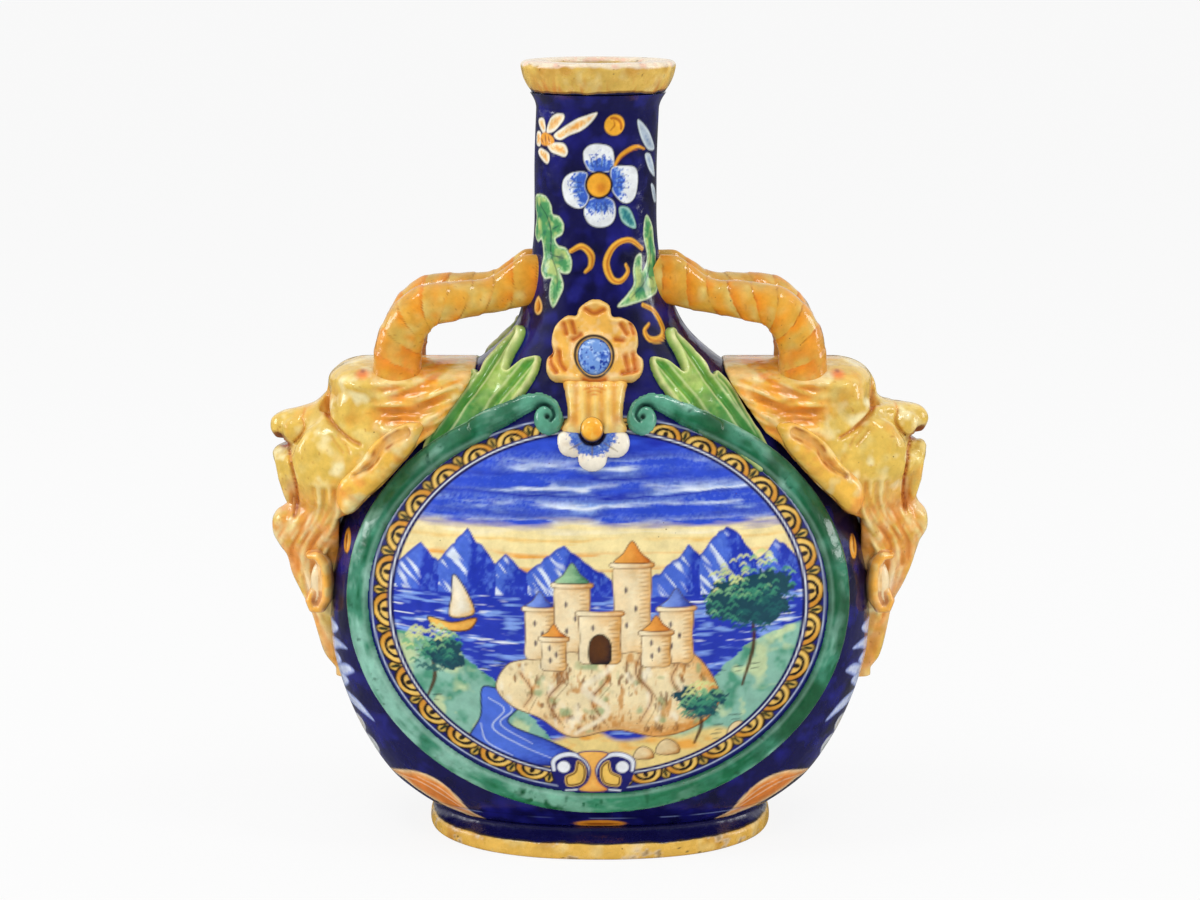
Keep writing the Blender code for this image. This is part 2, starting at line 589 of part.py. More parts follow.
def stem(name, side, material):
    """Fluted stem from the palmette down between the volutes."""
    top = PALMETTE_CENTRE_HEIGHT - PALMETTE_DROP - STEM_GAP
    loops = []
    steps = 4
    for i in range(steps + 1):
        share = i / steps
        level = top - STEM_LENGTH * share
        half = STEM_HALF_WIDTH * between(STEM_TOP_SHARE, 1, share)
        loop = [face_point(half * across, level, MODELLED_GAP + STEM_RELIEF * rise, side)
                for across, rise in STEM_FLUTE_SHARES]
        loop += [face_point(half * across, level, MODELLED_GAP, side)
                 for across, _ in STEM_FLUTE_SHARES[::-1]]
        loops.append(loop)
    return loft(name, loops, material, strip_ends=True)


def shoulder_point(turn, level, height, hand, side):
    """Point off the body at this turn from its flank (0) towards its face (a right angle)."""
    def on_skin(turn_there, level_there):
        x, y = oval_point(*body_section(level_there), turn_there)
        return np.array((hand * x, side * y, level_there))

    step = math.radians(1)
    rise = SLOPE_STEP
    here = on_skin(turn, level)
    out = np.cross(on_skin(turn + step, level) - on_skin(turn - step, level),
                   on_skin(turn, level + rise) - on_skin(turn, level - rise))
    out *= math.copysign(1, np.dot(out, (here[0], here[1], 0))) / np.linalg.norm(out)
    return tuple(here + out * height)


def leaf(name, hand, side, material, cutters):
    """Lobed acanthus leaf from the neck's foot down the shoulder to the frame ring."""
    loops = []
    steps = 15
    for i in range(steps + 1):
        share = i / steps
        level = between(LEAF_TOP_HEIGHT, LEAF_FOOT_HEIGHT, share)
        spine = math.pi / 2 * smooth_value(LEAF_SHARES, share, 1)
        half_width, half_depth, ovality = body_section(level)
        radius = math.hypot(*oval_point(half_width, half_depth, ovality, spine))
        half_turn = LEAF_WIDTH / 2 * smooth_value(LEAF_SHARES, share, 2) / radius
        loop = [shoulder_point(spine + half_turn * across, level, MODELLED_GAP + LEAF_RELIEF * rise,
                               hand, side) for across, rise in LEAF_PROFILE_SHARES]
        loop += [shoulder_point(spine + half_turn * across, level, MODELLED_GAP, hand, side)
                 for across, _ in LEAF_PROFILE_SHARES[::-1]]
        loops.append(loop)
    return cut(loft(name, loops, material, strip_ends=True), cutters)


# Satyr masks
def mask_half_breadth(drop):
    return MASK_BREADTH / 2 * smooth_value(MASK_BREADTH_SHARES, drop, 1)


def mask_loops(hand, rows, grow):
    """Level sections of a mask from its tail to its flat top, grown by this much all round."""
    loops = []
    columns = 12
    for drop, ridge_share, face_share, edge_share in rows[::-1]:
        level = MASK_TOP_HEIGHT - MASK_LENGTH * drop
        edge = MASK_REACH * edge_share
        face = MASK_REACH * face_share
        ridge = MASK_REACH * ridge_share
        half = mask_half_breadth(drop) + grow
        sigma = NOSE_RIDGE * smooth_value(RIDGE_SHARES, drop, 1)
        outside = []
        for i in range(columns + 1):
            turn = math.pi * (0.5 - i / columns)
            x, y = oval_point(face - edge, half, MASK_OVALITY, turn)
            x += edge + (ridge - face) * math.exp(-(y / sigma) ** 2)
            outside.append((hand * (x + grow * math.cos(turn)), y))
        core = body_section(level)[0] / 2
        wall = edge - MASK_EDGE_TAPER - grow
        loop = [(hand * core, half * MASK_CORE_SHARE), (hand * wall, half * MASK_WALL_SHARE)] + outside
        loop += [(hand * wall, -half * MASK_WALL_SHARE), (hand * core, -half * MASK_CORE_SHARE)]
        if drop == 0:
            level += grow
        if drop == 1:
            level -= grow
        loops.append([(x, y, level) for x, y in loop])
    return loops


def horn(name, hand, side, material, cutters):
    """Ribbed horn: up from the brow, over, and in to the neck."""
    neck_reach = NECK_DIAMETER / 2 - LUTE_GAP
    loops = []
    steps = 15
    count = 10

    def centre(share):
        reach = between(HORN_ROOT_REACH, neck_reach, smooth_value(HORN_SHARES, share, 1))
        level = MASK_TOP_HEIGHT + HORN_RISE * smooth_value(HORN_SHARES, share, 2)
        spread = between(HORN_TIP_SPREAD, HORN_SPREAD, smooth_value(HORN_SHARES, share, 3))
        return np.array((hand * reach, side * spread, level))

    for i in range(steps + 1):
        share = i / steps
        here = centre(share)
        along = centre(min(share + 0.5 / steps, 1)) - centre(max(share - 0.5 / steps, 0))
        along /= np.linalg.norm(along)
        across = np.cross(along, (0, 1, 0))
        across /= np.linalg.norm(across)
        third = np.cross(across, along)
        radius = (HORN_ROOT_DIAMETER * smooth_value(HORN_THICKNESS_SHARES, share, 1)
                  + HORN_MIDDLE_DIAMETER * smooth_value(HORN_THICKNESS_SHARES, share, 2)
                  + HORN_TIP_DIAMETER * smooth_value(HORN_THICKNESS_SHARES, share, 3)) / 2
        flatness = max(share - HORN_FLATTEN_SHARE, 0) / (1 - HORN_FLATTEN_SHARE)
        thin = between(radius, HORN_MIDDLE_DIAMETER * HORN_FLAT_TIP_SHARE, flatness)
        loops.append([tuple(here + across * radius * math.cos(2 * math.pi * k / count)
                            + third * thin * math.sin(2 * math.pi * k / count)) for k in range(count)])
    return cut(loft(name, loops, material), cutters)


def ear(name, hand, side, material, cutters):
    """Long pointed ear, of lens section, laid back from the cheek along the body."""
    steps = 10
    count = 10
    facing = np.array((hand * EAR_FACING_SHARES[0], side * EAR_FACING_SHARES[1], 0))
    facing /= np.linalg.norm(facing)

    def centre(share):
        reach = between(EAR_TIP_REACH, EAR_LOBE_REACH, smooth_value(EAR_SHARES, share, 1))
        level = between(EAR_TIP_HEIGHT, EAR_LOBE_HEIGHT, smooth_value(EAR_SHARES, share, 2))
        breadth = mask_half_breadth((MASK_TOP_HEIGHT - level) / MASK_LENGTH)
        # Where a deep body stands out past the mask's breadth, the ear clears the frame ring on it
        inner_edge = min(reach - EAR_WIDTH / 2, body_section(level)[0])
        body_there = face_point(inner_edge, level, MODELLED_GAP, 1)[1] + RING_RELIEF
        depth = max(breadth, body_there) + EAR_THICKNESS * EAR_SINK_SHARE
        return np.array((hand * reach, side * depth, level))

    loops = []
    for i in range(steps + 1):
        share = i / steps
        across = np.cross(centre(min(share + 1 / steps, 1)) - centre(max(share - 1 / steps, 0)), facing)
        across *= EAR_WIDTH / 2 * smooth_value(EAR_SHARES, share, 3) / np.linalg.norm(across)
        out = facing * EAR_THICKNESS / 2 * smooth_value(EAR_SHARES, share, 3)
        turns = [2 * math.pi * k / count for k in range(count)]
        loops.append([tuple(centre(share) + across * math.cos(turn) + out * math.sin(turn))
                      for turn in turns])
    return cut(loft(name, loops, material), cutters)


def build():
    for old in list(bpy.data.objects):
        bpy.data.objects.remove(old)
    cobalt = glaze("cobalt_glaze", (0.020, 0.045, 0.15), 0.22)
    cream = glaze("painted_glaze", (0.35, 0.38, 0.36), 0.22)
    ochre = glaze("ochre_glaze", (0.55, 0.27, 0.05), 0.25)
    green = glaze("green_glaze", (0.06, 0.17, 0.09), 0.22)
    flesh = glaze("flesh_glaze", (0.62, 0.38, 0.16), 0.28)
    orange = glaze("orange_glaze", (0.52, 0.20, 0.04), 0.28)

    seat_body = body_form(LUTE_GAP)
    seat_neck = neck_form(LUTE_GAP)
    foot_ring(cobalt)
    body_half("body_front", -1, cream)
    body_half("body_back", 1, cobalt)
    neck(cobalt)
    mouth_rim(ochre)

    seat_rings = {}
    for side, face in ((-1, "front"), (1, "back")):
        loft("frame_ring_" + face, frame_ring_loops(side, 0), green, strip_ends=True)
        ring_form = loft("ring_form_" + face, frame_ring_loops(side, MODELLED_GAP), None, strip_ends=True)
        seat_rings[face] = as_cutter(ring_form)
    seat_masks = {}
    for hand, where, rows in ((-1, "left", MASK_SHARES_LEFT), (1, "right", MASK_SHARES_RIGHT)):
        seat_masks[where] = as_cutter(loft("mask_form_" + where, mask_loops(hand, rows, MODELLED_GAP), None))
        mask = loft("satyr_mask_" + where, mask_loops(hand, rows, 0), flesh)
        cut(mask, [seat_body, seat_rings["front"], seat_rings["back"]])

    for side, face in ((-1, "front"), (1, "back")):
        def on_face(x, level, height, side=side):
            return face_point(x, level, height, side)

        centre = (0, PALMETTE_CENTRE_HEIGHT)
        relief_disc("palmette_" + face, centre, palmette_outline, PALMETTE_RELIEF, FLAT_CROWN_SHARE,
                    on_face, orange, count=5 * PALMETTE_LOBES)
        relief_disc("cabochon_" + face, centre, oval_outline(CABOCHON_WIDTH / 2, CABOCHON_TALL / 2),
                    CABOCHON_RELIEF, DOMED_CROWN_SHARE, on_face, cobalt,
                    base=PALMETTE_RELIEF + 2 * MODELLED_GAP, count=14)
        stem("palmette_stem_" + face, side, orange)
        stem_foot = PALMETTE_CENTRE_HEIGHT - PALMETTE_DROP - 2 * STEM_GAP - STEM_LENGTH
        flower = (0, stem_foot - FLOWER_DROP * FLOWER_CENTRE_SHARE)
        relief_disc("flower_" + face, flower, flower_outline, FLOWER_RELIEF, FLAT_CROWN_SHARE,
                    on_face, cream, count=24)
        relief_disc("flower_boss_" + face, flower, oval_outline(BOSS_DIAMETER / 2, BOSS_DIAMETER / 2),
                    BOSS_RELIEF, DOMED_CROWN_SHARE, on_face, ochre,
                    base=FLOWER_RELIEF + 2 * MODELLED_GAP, count=12)
        for hand, where in ((-1, "left"), (1, "right")):
            ending = where + "_" + face
            leaf("acanthus_leaf_" + ending, hand, side, green,
                 [seat_masks[where], seat_rings[face]])
            horn("horn_" + ending, hand, side, orange, [seat_masks[where], seat_neck, seat_body])
            ear("ear_" + ending, hand, side, orange, [seat_masks[where], seat_body, seat_rings[face]])

            def on_flank(y, level, height, hand=hand):
                return flank_point(y, level, height, hand)

            curl = relief_disc("beard_curl_" + ending, (side * CURL_OFFSET, CURL_CENTRE_HEIGHT),
                               oval_outline(CURL_WIDTH / 2, CURL_TALL / 2), CURL_RELIEF, CURL_CROWN_SHARE,
                               on_flank, orange, count=16)
            cut(curl, [seat_masks[where]])


build()
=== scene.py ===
"""Glazed terracotta pilgrim flask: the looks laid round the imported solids. Lengths are in millimetres
until a mesh is made. +Z is up and the front faces -Y."""
import math
import bmesh
import bpy
import numpy as np
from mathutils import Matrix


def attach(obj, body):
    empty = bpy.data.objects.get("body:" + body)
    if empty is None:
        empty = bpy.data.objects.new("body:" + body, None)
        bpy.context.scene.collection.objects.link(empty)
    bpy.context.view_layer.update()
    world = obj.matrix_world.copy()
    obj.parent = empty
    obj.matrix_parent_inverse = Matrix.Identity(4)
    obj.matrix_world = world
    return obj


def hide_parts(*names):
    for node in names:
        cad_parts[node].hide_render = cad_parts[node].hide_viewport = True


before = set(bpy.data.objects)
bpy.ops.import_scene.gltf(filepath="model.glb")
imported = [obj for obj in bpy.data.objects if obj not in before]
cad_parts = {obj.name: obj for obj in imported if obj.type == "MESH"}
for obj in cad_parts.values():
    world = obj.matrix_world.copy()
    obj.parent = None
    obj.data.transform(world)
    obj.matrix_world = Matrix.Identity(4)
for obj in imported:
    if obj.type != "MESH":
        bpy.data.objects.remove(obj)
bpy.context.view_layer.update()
MM = 0.001

# Body halves
# Two pressed half shells of terracotta that meet on the side seam, under a deep cobalt tin glaze.
# A fine grid on the outside carries the painting as a colour at each point; a coarse grid inside.
COBALT, INK, DEEP, CREAM, OCHRE = "100F4A", "0B0A38", "1B1C6E", "F0E2B4", "F0A62A"
ORANGE, BROWN, BLACK = "DE7E20", "8A4312", "15110F"
# Heights, then width and depth over the foot, at the belly and at the joint; width of the neck
BODY_BASE, BELLY, JOINT, NECK_FOOT = 14.0, 112.0, 262.0, 324.0
BASE_SIZE, BELLY_SIZE, JOINT_SIZE, NECK_SIZE = (180, 122), (283, 164), (89, 74), 62.6
# Share of the way up, then of the width and of the depth
LOWER = [(0, 0, 0), (.07, .2, .17), (.16, .4, .36), (.3, .59, .57), (.47, .76, .75), (.67, .9, .9),
         (.84, .975, .975), (1, 1, 1)]
UPPER = [(0, 1, 1), (.14, .985, .985), (.27, .955, .935), (.4, .895, .835), (.53, .8, .695),
         (.66, .64, .51), (.76, .48, .35), (.84, .32, .215), (.92, .14, .09), (1, 0, 0)]


def linear(code):
    channels = np.array([int(code[i:i + 2], 16) for i in (0, 2, 4)]) / 255
    return np.where(channels <= 0.04045, channels / 12.92, ((channels + 0.055) / 1.055) ** 2.4)


def held(amount):
    """The amount, held between 0 and 1."""
    return np.clip(amount, 0, 1)


def smooth(rows, share, column=1):
    """The column's value at each share, on a curve through the rows that never overshoots them."""
    rows = np.asarray(rows, float)
    places, values = rows[:, 0], rows[:, column]
    rises = np.diff(values) / np.diff(places)
    same = rises[:-1] * rises[1:] > 0
    middle = np.where(same, 2 * rises[:-1] * rises[1:] / np.where(same, rises[:-1] + rises[1:], 1), 0)
    slopes = np.concatenate([rises[:1], middle, rises[-1:]])
    share = np.clip(share, places[0], places[-1])
    i = np.clip(np.searchsorted(places, share, side="right") - 1, 0, len(places) - 2)
    span = places[i + 1] - places[i]
    t = (share - places[i]) / span
    return (values[i] * (1 + 2 * t) * (1 - t) ** 2 + slopes[i] * span * t * (1 - t) ** 2
            + values[i + 1] * t * t * (3 - 2 * t) - slopes[i + 1] * span * t * t * (1 - t))


def mix(low, high, share):
    return low + (high - low) * share


def measured_section(z):
    """Width and depth of the body, and of the neck's flare above it."""
    low, up = (z - BODY_BASE) / (BELLY - BODY_BASE), (z - BELLY) / (JOINT - BELLY)
    flare = held(1 - (z - JOINT) / (NECK_FOOT - JOINT)) ** 2.2
    sizes = []
    for column, (base, belly, joint) in enumerate(zip(BASE_SIZE, BELLY_SIZE, JOINT_SIZE), 1):
        size = np.where(z < BELLY, mix(base, belly, smooth(LOWER, low, column)),
                        mix(joint, belly, smooth(UPPER, up, column)))
        sizes.append(np.where(z > JOINT, mix(NECK_SIZE, joint, flare), size))
    return np.stack(sizes)


LEVELS = np.arange(BODY_BASE - 8, NECK_FOOT + 8, .25)
# The joint is smoothed over with slip, so the two curves run into each other there
SPAN = np.linspace(-11, 11, 23)
SLIPPED = sum(measured_section(LEVELS + step) * weight for step, weight in
              zip(SPAN, np.exp(-(SPAN / 6) ** 2) / np.exp(-(SPAN / 6) ** 2).sum()))
SECTIONS = mix(measured_section(LEVELS), SLIPPED, np.exp(-((LEVELS - JOINT) / 15) ** 4)) / 2


def body_section(z):
    """Half width, half depth and ovality of the body, and of the neck's flare above it."""
    half_width, half_depth = (np.interp(z, LEVELS, row) for row in SECTIONS)
    return half_width, half_depth, mix(2.25, 2.0, held((z - BELLY) / (JOINT - BELLY)))


def oval(half_width, half_depth, ovality, angle):
    cosine, sine = np.cos(angle), np.sin(angle)
    return (half_width * np.sign(cosine) * np.abs(cosine) ** (2 / ovality),
            half_depth * np.sign(sine) * np.abs(sine) ** (2 / ovality))


def face(x, z, height, side=-1):
    """Points this far off the body's front (side -1) or back."""
    def depth_at(x_there, z_there):
        half_width, half_depth, ovality = body_section(z_there)
        return half_depth * (1 - np.minimum(np.abs(x_there) / half_width, 1) ** ovality) ** (1 / ovality)

    depth = depth_at(x, z)
    lean_x = (depth_at(x - .7, z) - depth_at(x + .7, z)) / 1.4
    lean_z = (depth_at(x, z - .7) - depth_at(x, z + .7)) / 1.4
    long = np.sqrt(1 + lean_x ** 2 + lean_z ** 2)
    return np.stack([x + height * lean_x / long, side * (depth + height / long),
                     z + height * lean_z / long], -1)


def noise(places, size, seed=0, detail=1):
    """Smooth noise from about -1 to 1, with features of this size."""
    places = np.asarray(places, float)
    if places.shape[-1] == 2:
        places = np.concatenate([places, np.zeros(places.shape[:-1] + (1,))], -1)
    table = np.random.default_rng(seed).uniform(-1, 1, (32, 32, 32))
    total, weight = 0, 1.0
    for _ in range(detail):
        q = places / size + 7.3 * (seed + 1)
        cell = np.floor(q).astype(int)
        t = q - cell
        t = t * t * (3 - 2 * t)
        for corner in np.ndindex(2, 2, 2):
            share = np.prod(np.where(corner, t, 1 - t), -1)
            j = (cell + corner) % 32
            total = total + weight * share * table[j[..., 0], j[..., 1], j[..., 2]]
        size, weight = size / 2.1, weight * .55
    return total


def curve(points, closed=False, per=7):
    """Smooth line through the points."""
    p = np.asarray(points, float)
    if not closed:
        p = np.vstack([2 * p[0] - p[1], p, 2 * p[-1] - p[-2]])
    a, b, c, d = (np.roll(p, shift, 0) for shift in (1, 0, -1, -2))
    t = np.arange(per)[:, None, None] / per
    q = .5 * (2 * b + (c - a) * t + (2 * a - 5 * b + 4 * c - d) * t ** 2 + (3 * b - a - 3 * c + d) * t ** 3)
    q = q.transpose(1, 0, 2).reshape(-1, p.shape[1])
    return q if closed else q[per:-2 * per + 1]


def gap_to(at, line, widths=0, reach=8.0, closed=False):
    """Distance from each point to a drawn line, less half its width. Closed, negative inside."""
    line = curve(line, closed)
    at = np.asarray(at, float)
    found = np.full(at.shape[:-1], reach)
    near = ((at > line.min(0) - reach) & (at < line.max(0) + reach)).all(-1)
    a, b = (line, np.roll(line, -1, 0)) if closed else (line[:-1], line[1:])
    half = np.interp(np.linspace(0, 1, len(a)), np.linspace(0, 1, np.size(widths)), np.atleast_1d(widths)) / 2
    along = b - a
    size = np.maximum((along ** 2).sum(-1), 1e-9)
    rise = np.where(np.abs(along[:, 1]) < 1e-9, 1e-9, along[:, 1])
    every = []
    for p in np.array_split(at[near], max(1, near.sum() // 20000)):
        away = p[:, None] - a
        t = held((away * along).sum(-1) / size)
        gap = (np.sqrt(((away - t[..., None] * along) ** 2).sum(-1)) - half).min(1)
        if closed:
            crossed = (a[:, 1] > p[:, 1:]) != (b[:, 1] > p[:, 1:])
            left = p[:, :1] < a[:, 0] + away[..., 1] / rise * along[:, 0]
            gap = np.where((crossed & left).sum(1) % 2, -gap, gap)
        every.append(gap)
    found[near] = np.concatenate(every) if every else []
    return found


def cover(gap, soft=.35):
    """1 inside an edge and 0 outside it."""
    return held(.5 - gap / (2 * soft))


def oval_gap(x, z, half_x, half_z, scale=1.0):
    """Distance to an oval round the origin, in shares of its size times the scale."""
    return (np.hypot(x / half_x, z / half_z) - 1) * scale


def lay(paint, amount, code):
    paint += (linear(code) - paint) * held(amount)[..., None]


def ground(at, code, *tones, size=9, seed=3):
    """A flat coat that pools darker and lighter in these other colours."""
    paint = np.tile(linear(code), at.shape[:-1] + (1,))
    for i, tone in enumerate(tones):
        lay(paint, 1.6 * noise(at, size * (1 + i), seed + i, 3) - .25, tone)
    return paint


def motif(paint, at, outline, rim, body, core, band=1.1, shade=3.0):
    """A leaf or petal: dark line, pale rim, softer body and a stippled core."""
    gap = gap_to(at, outline, closed=True)
    grain = noise(at, .9, 5)
    lay(paint, cover(gap - .55, .3), INK)
    lay(paint, cover(gap), rim)
    lay(paint, cover(gap + band + .4 * grain, .5) * .8, body)
    lay(paint, cover(gap + shade + 1.3 * grain, .9) * .85, core)
    return gap


def strokes(paint, at, lines, code, width=.7, much=.9, soft=.35):
    for line in lines:
        lay(paint, cover(gap_to(at, line, [width * .6, width, width * .4]), soft) * much, code)


def grid_faces(rows, columns, start=0, wrap=False):
    index = start + np.arange(rows * columns).reshape(rows, columns)
    if wrap:
        index = np.concatenate([index, index[:, :1]], 1)
    return np.stack([index[:-1, :-1], index[:-1, 1:], index[1:, 1:], index[1:, :-1]], -1).reshape(-1, 4)


def zip_faces(one, two):
    """Triangles between two chains of points with different counts."""
    faces, i, j = [], 0, 0
    while i < len(one) - 1 or j < len(two) - 1:
        if j == len(two) - 1 or (i < len(one) - 1 and (i + 1) / (len(one) - 1) <= (j + 1) / (len(two) - 1)):
            faces.append((one[i], one[i + 1], two[j]))
            i += 1
        else:
            faces.append((one[i], two[j + 1], two[j]))
            j += 1
    return faces


def piece(name, points, faces, paint, material, nodes=None, sharp=50, fix=False):
    """Makes the mesh, turns its faces outward, gives it its paint and hides each solid that it stands for."""
    points, faces = np.asarray(points, float), [tuple(row) for row in faces]
    if not fix:
        three = np.array([(f[0], f[i], f[i + 1]) for f in faces for i in range(1, len(f) - 1)])
        a, b, c = (points[three[:, k]] for k in range(3))
        if np.einsum("ij,ij->i", a, np.cross(b, c)).sum() < 0:
            faces = [f[::-1] for f in faces]
    mesh = bpy.data.meshes.new(name)
    mesh.from_pydata((points * MM).tolist(), [], faces)
    if fix:
        work = bmesh.new()
        work.from_mesh(mesh)
        bmesh.ops.recalc_face_normals(work, faces=work.faces)
        work.to_mesh(mesh)
        work.free()
    layer = mesh.color_attributes.new("Paint", "FLOAT_COLOR", "POINT")
    layer.data.foreach_set("color", np.concatenate([paint, np.ones((len(paint), 1))], 1).ravel())
    mesh.shade_smooth()
    if sharp:
        mesh.set_sharp_from_angle(angle=math.radians(sharp))
    mesh.materials.append(material)
    made = bpy.data.objects.new(name + "_look", mesh)
    bpy.context.scene.collection.objects.link(made)
    for node in nodes or [name]:
        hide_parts(node)
    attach(made, "root")
    return made


def add(tree, kind, inputs=(), **settings):
    """One shader node; an input is a value or another node's output."""
    made = tree.nodes.new("ShaderNode" + kind)
    for key, value in settings.items():
        setattr(made, key, value)
    for key, value in dict(inputs).items():
        if isinstance(value, bpy.types.NodeSocket):
            tree.links.new(value, made.inputs[key])
        else:
            made.inputs[key].default_value = value
    return made


def glaze(name, gloss=.13, mottle=.2, specks=.5, ripple=.25, worn=0.0):
    """Lead-tin glaze over painted colour: cloudy in tone, specked, slightly rippled and pitted."""
    material = bpy.data.materials.new(name)
    material.use_nodes = True
    tree = material.node_tree
    shader = tree.nodes["Principled BSDF"]
    place = add(tree, "TexCoord").outputs["Object"]
    paint = add(tree, "Attribute", attribute_name="Paint").outputs["Color"]
    cloud = add(tree, "TexNoise", {"Vector": place, "Scale": 130.0, "Detail": 6.0, "Roughness": .65})
    tone = add(tree, "MapRange", {"Value": cloud.outputs["Fac"], "From Min": .3, "From Max": .7,
                                  "To Min": 1 - mottle, "To Max": 1 + mottle})
    toned = add(tree, "VectorMath", {0: paint, "Scale": tone.outputs["Result"]}, operation="SCALE")
    dots = add(tree, "TexVoronoi", {"Vector": place, "Scale": 260.0, "Randomness": 1.0})
    where = add(tree, "TexNoise", {"Vector": place, "Scale": 90.0, "Detail": 2.0})
    size = add(tree, "MapRange", {"Value": where.outputs["Fac"], "From Min": .52, "From Max": .8,
                                  "To Min": 0.0, "To Max": .16})
    dot = add(tree, "Math", {0: dots.outputs["Distance"], 1: size.outputs["Result"]}, operation="LESS_THAN")
    much = add(tree, "Math", {0: dot.outputs[0], 1: specks}, operation="MULTIPLY")
    specked = add(tree, "Mix", {"Factor": much.outputs[0], 6: toned.outputs[0], 7: (.09, .04, .015, 1)},
                  data_type="RGBA")
    tree.links.new(specked.outputs[2], shader.inputs["Base Color"])
    rough = add(tree, "MapRange", {"Value": cloud.outputs["Fac"], "From Min": .35, "From Max": .75,
                                   "To Min": gloss * .7, "To Max": gloss * 1.6 + worn})
    tree.links.new(rough.outputs["Result"], shader.inputs["Roughness"])
    shader.inputs["IOR"].default_value = 1.5
    wave = add(tree, "TexNoise", {"Vector": place, "Scale": 75.0, "Detail": 2.0})
    fine = add(tree, "TexNoise", {"Vector": place, "Scale": 900.0, "Detail": 3.0})
    both = add(tree, "Math", {0: fine.outputs["Fac"], 1: .06, 2: wave.outputs["Fac"]},
               operation="MULTIPLY_ADD")
    bump = add(tree, "Bump", {"Strength": ripple, "Distance": .004, "Height": both.outputs[0]})
    tree.links.new(bump.outputs["Normal"], shader.inputs["Normal"])
    return material


cobalt_glaze = glaze("cobalt_tin_glaze")
painted_glaze = glaze("painted_tin_glaze", mottle=.14)


def shell_half(side, fineness=1.0):
    """Rows of outer and inner points of a half shell, each from the seam line of its floor upward."""
    def rows(levels, columns, wall, floor):
        made = [np.stack([mix(1, -1, columns) * (body_section(floor)[0] - wall), 0 * columns,
                          floor + 0 * columns], -1)]
        for z in levels:
            half_width, half_depth, ovality = body_section(z)
            x, y = oval(half_width - wall, half_depth - wall, ovality, math.pi * columns)
            y[0] = y[-1] = 0
            made.append(np.stack([x, side * np.abs(y), z + 0 * x], -1))
        return np.array(made)

    low = np.interp(np.linspace(0, 1, int(150 * fineness)), [0, .25, 1], [BODY_BASE, 26, BELLY])
    high = np.linspace(BELLY, JOINT + .1, int(152 * fineness))[1:]
    spread = np.interp(np.linspace(0, 1, int(300 * fineness) + 1), [0, .34, .66, 1], [0, .27, .73, 1])
    outer = rows(np.concatenate([low, high]), spread, 0, BODY_BASE)
    inner = rows(np.concatenate([[24.5, 28, 35], np.linspace(45, JOINT - .3, 40)]), np.linspace(0, 1, 49),
                 7, 21.0)
    return outer, inner


# Leaves of a spray round the flank, the line of its stalk, petals below it and the long leaf over
# the foot: surface distance from the middle of the face, height
STALK = 189.6
SPRAY = ([(191, 106), (184, 112), (175, 112.8), (167, 110.5), (172, 106.5), (182, 104)],
         [(191, 97), (182, 101.8), (170, 103.8), (157, 101.2), (167, 99.2), (181, 95)],
         [(190, 88), (182, 94), (172, 95.8), (166, 92.5), (174, 88), (184, 85)],
         [(187, 81), (172, 88.8), (160, 92.4), (151.5, 90), (160, 85.8), (174, 80.5)],
         [(187, 75), (180, 80.8), (168, 85.4), (160, 82.5), (166, 78), (180, 73)],
         [(188, 74), (176, 74.8), (162, 74.8), (150, 71.8), (138.5, 63.6), (150, 66), (164, 68), (182, 66)])
PETAL_PAIR = ([(177, 56), (166, 61.4), (156, 62.4), (151.5, 57.5), (158, 50.5), (170, 46.5)],
              [(169, 45), (158, 51), (147, 51.5), (142, 45.5), (150, 38), (162, 34.5)])
LONG_LEAF = [(66, 13.6), (75.6, 18.2), (80.9, 25.5), (87, 31.6), (94.8, 36.2), (105.8, 38.6), (118.6, 37.8),
             (139, 32.5), (124.6, 30.6), (114.8, 25.6), (104.3, 21), (94.7, 17.4), (84, 15.4), (74, 13.4)]


def cobalt_coat(at):
    paint = ground(at, COBALT, DEEP, "0A0930", size=11)
    lay(paint, held(1.6 * noise(at, 13, 19, 2) - .3) * .5, "1F1F8C")
    return paint


def scroll(paint, p, line):
    """An ochre scroll with a dark outline and a brown stroke in its shade."""
    strokes(paint, p, [line], INK, 4.6, 1)
    strokes(paint, p, [line], "F1B43F", 3.5, 1)
    strokes(paint, p, [[(a + .5, b - .4) for a, b in line]], "B9631C", 1.3, .8)


LOW_SCROLL = [(24.8, 278.1), (31.7, 274.5), (36.3, 266), (33.8, 261.2), (26.7, 261.2), (24, 265.3),
              (27.1, 268.6)]


